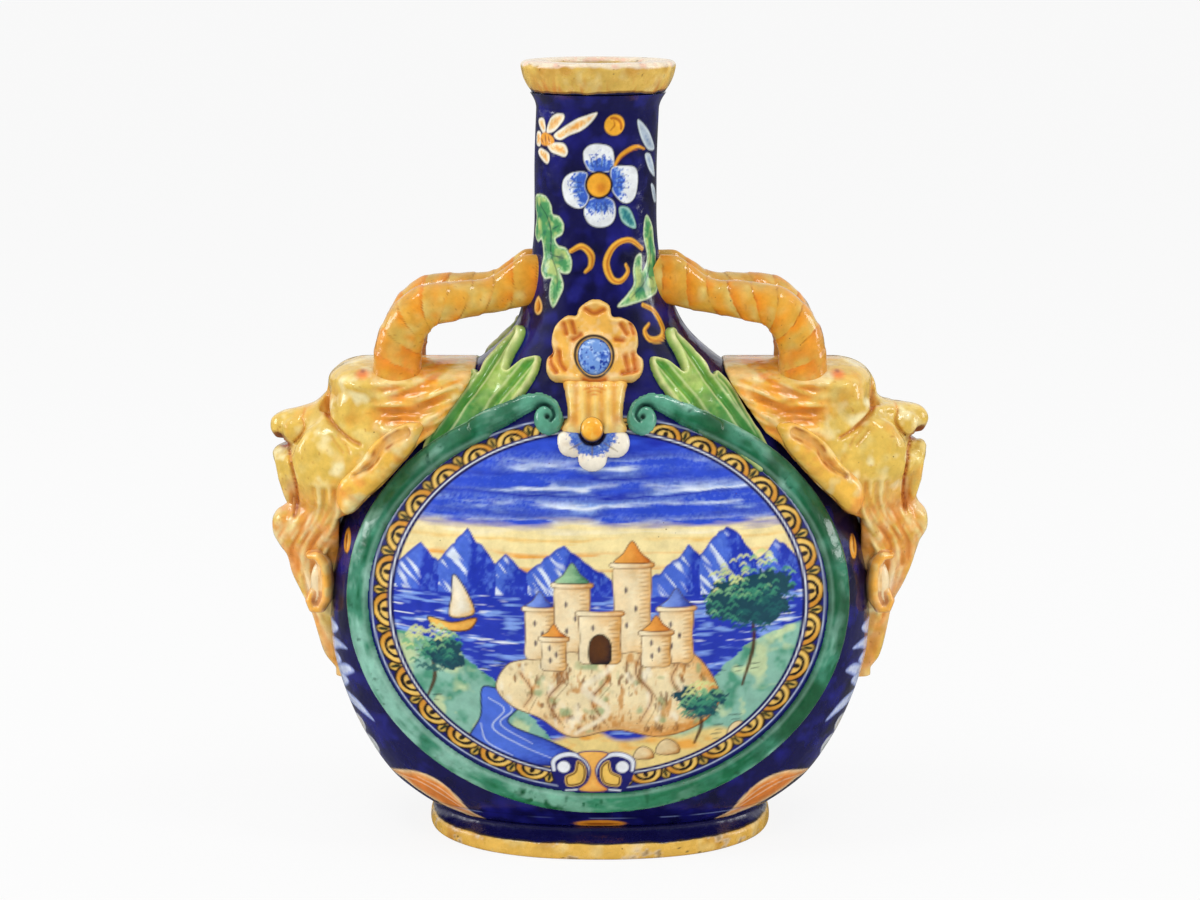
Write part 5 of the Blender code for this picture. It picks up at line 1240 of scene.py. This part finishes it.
# Shares of the drop, then of the reach: ridge down the middle, face beside it, edge of the cheek
MASK_LEFT = [(0, .748, .74, .43), (.02, .79, .775, .44), (.05, .82, .80, .455), (.095, .827, .81, .475),
             (.115, .843, .815, .482), (.138, .872, .82, .49), (.152, .915, .822, .497),
             (.168, .965, .825, .505), (.19, .996, .835, .52), (.22, 1, .85, .525), (.25, .986, .865, .55),
             (.272, .978, .875, .57), (.295, .995, .882, .585), (.325, .99, .882, .605),
             (.4, .962, .87, .65), (.45, .952, .866, .69), (.475, .968, .868, .71), (.51, .997, .872, .735),
             (.55, 1, .87, .757), (.6, .98, .86, .775), (.63, .96, .855, .785), (.69, .942, .85, .79),
             (.75, .916, .842, .795), (.82, .886, .832, .795), (.89, .868, .822, .79),
             (.95, .85, .812, .78), (1, .815, .79, .76)]
MASK_RIGHT = [(0, .75, .74, .43), (.025, .805, .785, .442), (.07, .833, .81, .464), (.105, .84, .815, .478),
              (.128, .868, .82, .486), (.136, .92, .822, .489), (.152, .972, .825, .497),
              (.19, .992, .835, .52), (.225, .983, .85, .525), (.25, .962, .865, .55),
              (.272, .976, .875, .57), (.295, .992, .882, .585), (.33, .985, .882, .605),
              (.355, .966, .878, .625), (.41, .962, .87, .655), (.45, .97, .868, .69),
              (.49, .993, .872, .72), (.535, 1, .87, .75), (.58, .98, .862, .77), (.64, .962, .855, .787),
              (.72, .93, .846, .795), (.79, .897, .836, .795), (.89, .88, .824, .79),
              (.96, .862, .812, .78), (1, .835, .79, .76)]
# Share of the drop, then the half breadth and the ridge's width as shares of their own
MASK_BREADTHS = [(0, .8), (.1, .88), (.2, .97), (.3, 1), (.4, .98), (.47, .86), (.52, .66), (.6, .42),
                 (.7, .25), (.85, .2), (1, .12)]
RIDGE_WIDTHS = [(0, 2.2), (.1, 2.2), (.16, 1.1), (.27, 1.25), (.31, 2.3), (.42, 2), (.46, 1.3), (.6, 1.3),
                (1, 1)]
# Heights, then the reach of the mask's inner edge, along the ear and the leaf
MASK_INNER_EDGE = ((100, 128, 146, 158, 168, 172.5, 179.5, 188, 199, 209, 214.5, 247),
                   (100, 120, 133, 134.5, 134, 127, 119.5, 110, 100, 91.5, 84, 60))
BEARD_FLOW = ((100, 122, 136, 146, 154, 164, 174, 184), (146, 153, 157.5, 156.8, 153, 146.8, 141.6, 140.6))
BROW_LINE = [(141, 233), (140.4, 225), (138.6, 219), (133, 214.2), (127.6, 210.6), (122, 208.2)]
WING_LINE = [(152.6, 221), (153.4, 217), (152.2, 213), (153.8, 209), (157.4, 205)]
LIP_LINE = [(160.4, 200), (158, 193.5), (157, 185), (156.8, 175), (158.4, 166)]
CROWS_FEET = ([(136.6, 211), (133.8, 207.6), (130.6, 204)], [(133.5, 212), (129.4, 207.8), (127, 203.6)])
LOCKS = ([(146, 184), (146.4, 175), (150.6, 166), (156, 158.6), (160.2, 150), (161, 140)],
         [(140.6, 184), (141.6, 174), (146.8, 163.6), (153, 154.6), (156.8, 146), (157.6, 136)],
         [(135, 184.5), (135.2, 174.5), (139.8, 163.6), (147.4, 154.4), (152.6, 144), (154.4, 132),
          (152.4, 122), (148.6, 108)], [(131, 174), (134.2, 163.6), (140.4, 154.2), (146.4, 147)])
HAIR = ([(112, 241), (100, 241.6), (88, 244.6), (74, 247)],
        [(110, 234.6), (98, 234.4), (88, 235.6), (70, 240)],
        [(112, 226), (99, 225.4), (88, 224.4), (70, 227)], [(109, 218.6), (99, 217.4), (86, 217)],
        [(116, 230), (104, 230.4), (92, 229.6), (76, 232)], [(113, 221), (102, 221.2), (90, 220.4)],
        [(108, 238), (96, 238), (84, 240.6)])


def mask_gap(reach, depth, z, rows):
    """Distance to the mass of the mask, negative inside, on a grid of reach, depth and height."""
    drop = held((MASK_TOP - z) / MASK_TALL)
    ridge, cheek, edge = (MASK_REACH * smooth(rows, drop, column) for column in (1, 2, 3))
    half, sigma = MASK_HALF * smooth(MASK_BREADTHS, drop), NOSE_RIDGE * smooth(RIDGE_WIDTHS, drop)
    there = reach - (ridge - cheek) * np.exp(-(depth / sigma) ** 2)
    k = (np.maximum(there - edge, 0) / (cheek - edge)) ** MASK_OVALITY
    k = np.maximum(k + (np.abs(depth) / half) ** MASK_OVALITY, 1e-4) ** (1 / MASK_OVALITY)
    return (k - 1) * np.minimum(half, 1.4 * (cheek - edge))


def blend(one, two, soft):
    """The lesser of two distances, with a fillet this soft between the forms."""
    share = held(.5 + .5 * (two - one) / soft)
    return two + (one - two) * share - soft * share * (1 - share)


def in_egg(r, y, z, half):
    """Distance from the middle of an egg of clay, in shares of its half sizes."""
    return np.sqrt((r / half[0]) ** 2 + (y / half[1]) ** 2 + (z / half[2]) ** 2)


def lump(field, axes, centre, half, soft=3.0, tilt=0.0):
    """Adds an egg of clay; a tilt turns it in the plane of reach and height."""
    near = tuple(slice(*np.searchsorted(axis, (c - max(half) - soft, c + max(half) + soft)))
                 for axis, c in zip(axes, centre))
    r, y, z = np.meshgrid(*(axis[cut] - c for axis, cut, c in zip(axes, near, centre)), indexing="ij")
    r, z = r * math.cos(tilt) + z * math.sin(tilt), z * math.cos(tilt) - r * math.sin(tilt)
    field[near] = blend(field[near], (in_egg(r, y, z, half) - 1) * min(half), soft)


def roll(field, axes, line, radii, soft=1.5, flat=1.0):
    """Adds a tapering roll of clay along the line; flat stretches its section in depth."""
    line, wide = np.array(line, float), max(radii) * max(flat, 1) + soft
    near = tuple(slice(*np.searchsorted(axis, (line[:, k].min() - wide, line[:, k].max() + wide)))
                 for k, axis in enumerate(axes))
    at = np.stack(np.meshgrid(*(axis[cut] for axis, cut in zip(axes, near)), indexing="ij"), -1)
    thin = np.array([1, 1 / flat, 1])
    best = np.full(at.shape[:-1], 99.0)
    for a, b, low, high in zip(line[:-1] * thin, line[1:] * thin, radii[:-1], radii[1:]):
        step = b - a
        share = held(((at * thin - a) @ step) / (step @ step))
        away = np.linalg.norm(at * thin - a - share[..., None] * step, axis=-1)
        best = np.minimum(best, away - mix(low, high, share))
    field[near] = blend(field[near], best, soft)


def mask_grooves(q, lift):
    """Depth of the modelled lines at each reach and height, and the paint that gathers in them."""
    up = q - np.array([0, lift])
    brow, wing, lip = (gap_to(up, line) for line in (BROW_LINE, WING_LINE, LIP_LINE))
    deep = dip(brow, 1.3, 2.4) + dip(wing, .9, 1.6) + dip(lip, 1.1, 2.2)
    pooled = .9 * cover(brow - .6, 1) + cover(wing - .4, .7) + cover(lip - .7, .9)
    for gap in (gap_to(up, line) for line in CROWS_FEET):
        deep += dip(gap, .9, .9)
        pooled += .5 * cover(gap - .4, .8)
    for gap in (gap_to(up, line) for line in LOCKS):
        deep += dip(gap, 1.2, 1.3) - dip(gap - 3, 1.2, .4)
        pooled += .6 * cover(gap - .7, 1.1)
    for gap in (gap_to(q, line) for line in HAIR):
        deep += dip(gap, 1.1, .7)
        pooled += .35 * cover(gap - .6, 1.1)
    # Strands drawn with a point in the wet clay, long along the hair and uneven across it
    r, z = q[..., 0], q[..., 1]
    wave = 2.2 * np.sin(r / 9) + .25 * (110 - r)
    in_hair = held((117 - r) / 8) * held((z - 212) / 5)
    strand = noise(np.stack([.2 * r, z - wave], -1), 4.2, 141, 2)
    z = up[..., 1]
    in_beard = held((191 - z + 5 * noise(q * (1, 0), 5, 143)) / 20)
    in_beard = in_beard * held((164 - r + .6 * (170 - z) * (z < 170)) / 5) * (r > 128)
    lock = noise(np.stack([r - np.interp(z, *BEARD_FLOW), .22 * z], -1), 4.2, 142, 2)
    deep += 2.6 * in_hair * strand + 1.9 * in_beard * lock
    pooled += held(2.2 * strand) * in_hair + held(2 * lock - .1) * in_beard * .8
    return deep, held(pooled)


def mask_shape(rows, lift, step):
    """The mask's surface: its front half is modelled, and the back half mirrors it."""
    axes = [np.arange(low, high, step) for low, high in ((60, 176), (-50, 0), (78, 250))]
    axes[1] -= axes[1][-1] + step / 2
    r, y, z = np.meshgrid(*axes, indexing="ij")
    field = mask_gap(r, y, axes[2], rows)
    # Forehead, brow, lid, tip and wing of the nose, cheek and chin: middle, half sizes, fillet, tilt
    for egg in (((122, -14, 238), (13, 22, 8), 5), ((127, -22, 225 + lift), (8.5, 12, 12), 3, .25),
                ((135, -17, 218.5 + lift), (5.5, 6, 5), 2), ((160.5, -2, 212.6 + lift), (9.6, 7.5, 7), 2.5),
                ((158.4, -10, 211 + lift), (5.6, 4.6, 5.8), 2.2), ((141, -23, 199 + lift), (16, 12.5, 17), 9),
                ((164.5, 0, 159.5 + lift * .5), (6.4, 9, 9), 2.5, -.15)):
        lump(field, axes, *egg)
    # The moustache
    roll(field, axes, [(166.5, -2, 197.5 + lift), (164.5, -9, 194 + lift), (162.6, -12.6, 186),
                       (160.8, -12.2, 178), (158.6, -10.5, 168)], (3.2, 3.8, 3.8, 3.3, 1.8), 1.6)
    # The open mouth, the nostrils and the hollow of the eye
    for centre, half in (((167.5, 0, 203.4 + lift), (8, 11, 1.7)), ((165.6, -5, 207 + lift), (3, 2, 2)),
                         ((142.5, -12.5, 225.5 + lift), (2.6, 5, 5))):
        away = in_egg(r - centre[0], y - centre[1], z - centre[2], half) - 1
        field = -blend(-field, away * min(half), 1.6)
    flat = np.stack(np.meshgrid(axes[0], axes[2], indexing="ij"), -1)
    deep, _ = mask_grooves(flat, lift)
    beside = held((-axes[1] - 2.5) / 5)
    field += deep[:, None, :] * beside[None, :, None]
    # Locks of the beard seen from in front, parted in the middle
    across = np.stack(np.meshgrid(axes[1], axes[2], indexing="ij"), -1)
    wave = np.cos((across[..., 0] + 2.4 * np.sin(across[..., 1] / 11)) * 2 * math.pi / 7.5)
    below = held((152 - across[..., 1]) / 8) * held((-across[..., 0]) / 3)
    field += (.8 * wave * below)[None] * held((r - 148) / 6)
    half_width, half_depth, ovality = body_section(axes[2])
    body = ((np.abs(r) / half_width) ** ovality + (np.abs(y) / half_depth) ** ovality) ** (1 / ovality) - 1
    field = -blend(-field, body * half_depth + 1.5, .8)
    # The head is round over the top, and its hair ends at the leaves
    field = -blend(-field, MASK_TOP + 1.2 - 9 * (np.abs(y) / 38) ** 2.2 - z, 3)
    field = -blend(-field, .8 * (r - np.interp(axes[2], *MASK_INNER_EDGE)), 5)
    return nets(np.concatenate([field, field[:, ::-1]], 1), np.array([axis[0] for axis in axes]), step)


def mask_paint(points, lift, seed):
    r, y, z = points.T
    q, up = points[:, (0, 2)], z - lift
    deep, pooled = mask_grooves(q, lift)
    beside = held((np.abs(y) - 2) / 4)
    paint = ground(points, "DEB955", "E4C770", size=9, seed=seed)
    lay(paint, 1.3 * noise(points, 12, seed + 1, 3) - .25, "E2AC46")
    lay(paint, 1.3 * noise(points, 7, seed + 2, 2) - .1, "F2E2A8")
    beard = held((190 - up + 5 * noise(q * (1, 0), 5, 143)) / 26)
    lay(paint, beard * held(.4 + noise(points, 8, seed + 3, 2)) * .8, "EBCB90")
    lay(paint, beard * held(1.5 * noise(points, 6, seed + 4, 2) - .2) * .7, "E69A42")
    lay(paint, beard * held(1.6 * noise(points, 9, seed + 9, 2) - .4) * .5, "E8A880")
    hair = held((118 - r) / 12) * (z > 205)
    lay(paint, hair * held(.45 + 1.2 * noise(points, 7, seed + 5, 2)) * .9, "F8AC3C")
    lay(paint, hair * held(1.5 * noise(points, 5, seed + 6, 2) - .3) * .6, "EE942E")
    lay(paint, pooled * beside * .8, "E28A30")
    lay(paint, held(deep / 2.4 - .5) * beside * (.8 - .45 * hair), "B4621F")
    crest = held(-deep * 1.2) * beside
    lay(paint, crest * .6, "F2DA98")
    for centre, half, code, much in (((121, -26, 241), (4, 6, 5), "E8742C", .85),
                                     ((121, -26, 244.5), (1.6, 4, 1.4), "6A2A14", .7),
                                     ((141, -14, 226 + lift), (3.4, 8, 7), "D87830", .7),
                                     ((139.4, -18, 221 + lift), (2.4, 5, 3), "B0581E", .8),
                                     ((166, -5, 206.6 + lift), (6, 7, 3), "7A2E12", .9),
                                     ((163.6, -7, 203 + lift), (6, 9, 2.6), "8A3412", .95),
                                     ((132, -40, 180), (2.4, 8, 6), "E9882E", .8),
                                     ((152, -14, 124), (3, 9, 14), "F3DFC0", .6)):
        away = in_egg(r - centre[0], np.abs(y) + centre[1], z - centre[2], half)
        lay(paint, held((1.25 - away) / .7) * much, code)
    groove = cover(gap_to(q - np.array([0, lift]), LIP_LINE) - .9, .7) * beside
    lay(paint, groove * held(2.5 * noise(points, 1.3, seed + 7) + .2), "9A4216")
    lay(paint, held(2.6 * noise(points, 1.5, seed + 8) - 1.75) * .8, "A85A20")
    return paint


# The right mask's features lie a little higher
for hand, where, rows, lift in ((-1, "left", MASK_LEFT, 0.0), (1, "right", MASK_RIGHT, 3.4)):
    points, faces = mask_shape(rows, lift, .85)
    paint = mask_paint(points, lift, 131 + hand)
    piece("satyr_mask_" + where, points * (hand, 1, 1), faces, paint, flesh_glaze, sharp=0)

# Horns
# A pair on each mask, the handles: a rolled tube that rises from the brow, turns in and ends in a
# flattened upturned tip on the neck. Stepped diagonal bands, yellow running to amber at each step.
horn_glaze = glaze("amber_horn_glaze", gloss=.11, mottle=.16, specks=.8, ripple=.35)
HORN_ROOT, HORN_END, HORN_BASE, HORN_RISE, HORN_SPREADS = 103.5, 31, 246, 40, (11.5, 22)
# Share of its length, then shares of the way in, of the rise and of the spread; girths; turns of the bands
HORN_PATH = [(0, 0, -.25, .9), (.1, 0, .06, .95), (.22, .03, .36, 1), (.34, .1, .6, 1), (.46, .22, .77, .9),
             (.6, .42, .83, .65), (.74, .64, .88, .35), (.87, .84, 1, .1), (1, 1.06, 1.2, 0)]
HORN_GIRTHS = [(0, 26), (.12, 24.2), (.25, 23.4), (.55, 20.5), (.75, 17.6), (.86, 21.5), (.94, 25), (1, 18)]
HORN_BANDS = 9.4


def banded(share, turn):
    """Share of the way across the slanting band at each place."""
    return (HORN_BANDS * share + .42 * np.cos(turn)) % 1


def horn_centre(share):
    inward, rise, spread = (smooth(HORN_PATH, share, column) for column in (1, 2, 3))
    return np.stack([mix(HORN_ROOT, HORN_END, inward), mix(*HORN_SPREADS, spread),
                     HORN_BASE + HORN_RISE * rise], -1)


def horn_shape(rows, columns, seed):
    """Points and faces of the tube, and each point's share of the length and turn from the outer side."""
    share = np.linspace(0, 1, rows)[:, None]
    turn = np.arange(columns)[None] * 2 * math.pi / columns
    centre = horn_centre(share[:, 0])
    along = horn_centre(np.minimum(share[:, 0] + .03, 1)) - horn_centre(np.maximum(share[:, 0] - .03, 0))
    across = np.cross(along, (0, 1, 0))
    across /= np.linalg.norm(across, axis=-1, keepdims=True)
    third = np.cross(across, along / np.linalg.norm(along, axis=-1, keepdims=True))
    band = banded(share, turn)
    step = .5 * band ** 2 * held((1 - band) / .12)
    radius = smooth(HORN_GIRTHS, share) / 2 + step * held((.95 - share) / .1)
    flat = held((share - .7) / .3)
    thin = mix(radius, 4.5, flat)
    wide, high = (radius * np.cos(turn))[..., None], (thin * np.sin(turn))[..., None]
    points = centre[:, None] + across[:, None] * wide + third[:, None] * high
    points = np.concatenate([points.reshape(-1, 3), centre[[0]], centre[[-1]] + along[-1] / 30])
    points += .35 * noise(points, 9, seed, 2)[:, None] * (1, 0, 1)
    faces = grid_faces(rows, columns, wrap=True)
    last = rows * columns
    ends = [(last, k, (k + 1) % columns) for k in range(columns)]
    ends += [(last + 1, last - columns + (k + 1) % columns, last - columns + k) for k in range(columns)]
    shares = np.concatenate([np.broadcast_to(share, (rows, columns)).ravel(), [0, 1]])
    turns = np.concatenate([np.broadcast_to(turn, (rows, columns)).ravel(), [0, 0]])
    return points, [*map(tuple, faces), *ends], shares, turns


def horn_paint(points, share, turn, seed):
    band = banded(share, turn)
    patch = noise(points, 9, seed, 2)
    paint = ground(points, "DFA63E", "D9B254", size=10, seed=seed + 1)
    lay(paint, 1.5 * noise(points, 8, seed + 2, 2) - .25, "E4C26A")
    lay(paint, held((band - .2) / .5) * held(.8 + 1.3 * patch) * .95, "EB9826")
    lay(paint, held((band - .7) / .3) * held(.35 + 1.6 * patch) * .8, "E0791F")
    broken = held(.35 + 2.2 * noise(points, 5, seed + 3, 2))
    lay(paint, cover(np.abs(band - .965) - .014, .03) * broken * .9, "7A3A12")
    lay(paint, held((.05 - np.abs(share - .17)) / .03) * .35, "E88A2C")
    root = held((.17 - share) / .05)
    lay(paint, root * held(.5 + noise(points, 6, seed + 4, 2)) * .8, "E98F32")
    lay(paint, held(-np.cos(turn) - .3) * .45, "B8862E")
    lay(paint, held(2.6 * noise(points, 1.4, seed + 5) - 1.8) * .8, "8A3E14")
    return paint


for hand, where in ((-1, "left"), (1, "right")):
    for side, end in ((-1, "front"), (1, "back")):
        seed = 151 + 6 * (hand + 1) + side
        points, faces, share, turn = horn_shape(170, 60, seed)
        piece(f"horn_{where}_{end}", points * (hand, side, 1), faces, horn_paint(points, share, turn, seed),
              horn_glaze, sharp=0)

# Ears
# Goat's ears laid back along the cheeks over the frame rings: a thick lower roll, a thin upper
# flap and a hollow between them, modelled over the mask and the body. Reach, height.
EAR_EDGE = [(89.2, 219.2), (92, 211.5), (96.5, 204.5), (102, 198.5), (110, 189.6), (119, 181.2),
            (125.5, 174), (129, 172.6), (133, 178), (133.8, 184.5), (131.6, 190), (126, 195.5),
            (120.5, 201.6), (116, 208), (110, 213.6), (103.5, 217.8), (95.6, 220.6)]
EAR_HOLLOW = [(97, 216), (104, 212.6), (109.6, 207.8), (113, 202), (117.6, 197.4), (123, 194)]
HOLLOW_WIDTHS = [3.6, 3.6, 2.6, 1.6, 1, .6]


def ear_base(r, z, rows):
    """Depth of what the ear lies on: the cheek, or the body where that stands out further."""
    drop = (MASK_TOP - z) / MASK_TALL
    cheek, edge = (MASK_REACH * smooth(rows, drop, column) for column in (2, 3))
    half = MASK_HALF * smooth(MASK_BREADTHS, drop)
    share = np.clip((r - edge) / (cheek - edge), 0, .98) ** MASK_OVALITY
    on_cheek = half * (1 - share) ** (1 / MASK_OVALITY)
    on_body = np.abs(face(np.minimum(r, body_section(z)[0] - .5), z, 0 * z)[..., 1])
    return -blend(-on_cheek, -on_body, 5)


def ear_top(at):
    gap = gap_to(at, EAR_EDGE, closed=True)
    hollow = gap_to(at, EAR_HOLLOW, HOLLOW_WIDTHS)
    top = pillow(gap, 6.6, 4.6) - np.where(gap < 0, dip(np.maximum(hollow + 1.2, 0), 2.2, 4.4), 0)
    return top + np.where(gap < 0, .25 * noise(at, 6, 171, 2), 0)


def ear_paint(flat, seed):
    at = flat[:, :2]
    hollow = gap_to(at, EAR_HOLLOW, HOLLOW_WIDTHS)
    gap = gap_to(at, EAR_EDGE, closed=True)
    paint = ground(at, "F0BC4E", "F2C968", size=8, seed=seed)
    lay(paint, 1.4 * noise(at, 7, seed + 1, 2) - .2, "ECD898")
    lay(paint, 1.5 * noise(at, 6, seed + 2, 2) - .4, "E6A248")
    lay(paint, cover(hollow - 1.4, 2) * .6, "E2A65E")
    lay(paint, cover(np.abs(hollow - .6) - .4, .8) * held(.5 + 1.6 * noise(at, 4, seed + 3)), "96441A")
    lay(paint, cover(np.hypot(at[:, 0] - 131.5, (at[:, 1] - 182) * .55) - 2.5, 2.5) * .6, "EC9238")
    lay(paint, held((1.4 - flat[:, 2]) / 1.4) * (gap > -1.5) * .7, "B4702E")
    return paint


for hand, where, rows in ((-1, "left", MASK_LEFT), (1, "right", MASK_RIGHT)):
    for side, end in ((-1, "front"), (1, "back")):
        def on_cheek(r, z, height):
            return np.stack([hand * (r + .25 * height), side * (ear_base(r, z, rows) + height), z], -1)

        flat, points, faces = relief((86, 169), (137, 224), .55, ear_top, on_cheek, base=-3)
        piece(f"ear_{where}_{end}", points, faces, ear_paint(flat, 175 + hand + 3 * side), flesh_glaze,
              sharp=0)

# Beard curls
# A lock rolled into a C at each side of the beard, with a web of clay in its hollow; orange glaze
# on the roll, cream in the hollow. Line of the roll: reach, depth, height.
CURL_LINE = [(150.4, 15, 146), (146, 17, 146.4), (142.2, 18, 141.6), (141.2, 18.4, 132.8),
             (141.8, 18, 124.4), (145, 17, 118.8), (149, 16.4, 118.4), (150.9, 16.4, 122.2),
             (149.6, 16.8, 126.6)]
CURL_RADII = (2.4, 3, 3.4, 3.4, 3.3, 3, 2.7, 2.3, 1.7)


def curl_shape(step):
    axes = [np.arange(low, high, step) for low, high in ((132, 158), (4, 32), (110, 153))]
    field = np.full([len(axis) for axis in axes], 6.0)
    roll(field, axes, CURL_LINE, CURL_RADII, 1.0, 2.4)
    lump(field, axes, (145.6, 17, 131), (4.6, 5.4, 11.5), 1.4)
    return nets(field, np.array([axis[0] for axis in axes]), step)


for hand, where in ((-1, "left"), (1, "right")):
    for side, end in ((-1, "front"), (1, "back")):
        points, faces = curl_shape(.6)
        q = points[:, (0, 2)]
        line = gap_to(q, [(x, z) for x, _, z in CURL_LINE], [2 * radius for radius in CURL_RADII], reach=12)
        paint = ground(points, "F8B44C", "F6C060", size=8, seed=181)
        lay(paint, 1.5 * noise(points, 6, 182 + hand, 2) - .2, "EEC878")
        lay(paint, held((128 - points[:, 2]) / 8) * held(.5 + noise(points, 5, 183, 2)) * .6, "EBB088")
        lay(paint, cover(-line, 1.2) * (points[:, 0] < 150) * .9, "F0DDB4")
        lay(paint, cover(np.abs(line) - .3, .6) * held(.5 + 1.5 * noise(points, 4, 184)) * .8, "B8602A")
        lay(paint, held((9 - points[:, 1]) / 2) * .5, "D88440")
        piece(f"beard_curl_{where}_{end}", points * (hand, side, 1), faces, paint, flesh_glaze,
              sharp=0)

# Floor, lights and camera
# White studio: a pale floor that keeps a faint shadow, large soft boxes and an even sky. The camera
# stands where the photograph's did.
bpy.ops.object.select_all(action="DESELECT")
bpy.ops.mesh.primitive_plane_add(size=90)
floor = bpy.context.object
floor.name = "studio_floor"
paper = bpy.data.materials.new("white_paper_sweep")
paper.use_nodes = True
sheet = paper.node_tree
sheet.nodes.clear()
ray = add(sheet, "LightPath").outputs
shade = add(sheet, "Mix", {"Factor": ray["Is Glossy Ray"], 6: (.9, .9, .9, 1), 7: (.2, .2, .2, 1)},
            data_type="RGBA")
bare = add(sheet, "BsdfDiffuse", {"Color": shade.outputs[2]})
lit = add(sheet, "Emission", {"Color": (1, 1, 1, 1), "Strength": .975})
part = add(sheet, "Math", {0: ray["Is Camera Ray"], 1: .9}, operation="MULTIPLY")
both = add(sheet, "MixShader", {0: part.outputs[0], 1: bare.outputs[0], 2: lit.outputs[0]})
add(sheet, "OutputMaterial", {"Surface": both.outputs[0]})
floor.data.materials.append(paper)

world = bpy.data.worlds.new("studio")
bpy.context.scene.world = world
world.use_nodes = True
sky = world.node_tree
sky.nodes["Background"].inputs["Color"].default_value = (1, 1, 1, 1)
# The glaze mirrors a room that is dim on the camera's side and bright beside and behind the flask
toward = add(sky, "SeparateXYZ", {"Vector": add(sky, "TexCoord").outputs["Generated"]}).outputs["Y"]
room = add(sky, "MapRange", {"Value": toward, "From Min": -.8, "From Max": .05, "To Min": .08, "To Max": .85})
mirrored = add(sky, "LightPath").outputs["Is Glossy Ray"]
open_side = add(sky, "MapRange", {"Value": toward, "From Min": -.9, "From Max": .3, "To Min": 1.1,
                                  "To Max": .54})
level = add(sky, "Mix", {"Factor": mirrored, 2: open_side.outputs["Result"], 3: room.outputs["Result"]})
sky.links.new(level.outputs[0], sky.nodes["Background"].inputs["Strength"])


def softbox(name, place, width, tall, power):
    data = bpy.data.lights.new(name, "AREA")
    data.shape, data.size, data.size_y, data.energy = "RECTANGLE", width, tall, power
    lamp = bpy.data.objects.new(name, data)
    bpy.context.scene.collection.objects.link(lamp)
    lamp.location = place
    away = np.array(place) - (0, 0, .2)
    lamp.rotation_euler = (math.atan2(math.hypot(away[0], away[1]), away[2]), 0,
                           math.atan2(away[0], -away[1]))


softbox("left_box", (-1.9, .1, .8), .5, .8, 9)
softbox("right_box", (1.9, .1, .7), .5, .8, 7)
softbox("high_left_box", (-.8, -.35, 1.9), .46, .36, 7)
softbox("high_right_box", (.8, -.35, 1.9), .42, .34, 5.2)
camera = bpy.data.objects.new("camera", bpy.data.cameras.new("camera"))
bpy.context.scene.collection.objects.link(camera)
camera.location = (0, -1.5, .476)
camera.rotation_euler = (math.radians(79.51), 0, 0)
camera.data.lens, camera.data.sensor_width = 87.87, 36
bpy.context.scene.camera = camera
bpy.context.scene.view_settings.view_transform = "Standard"
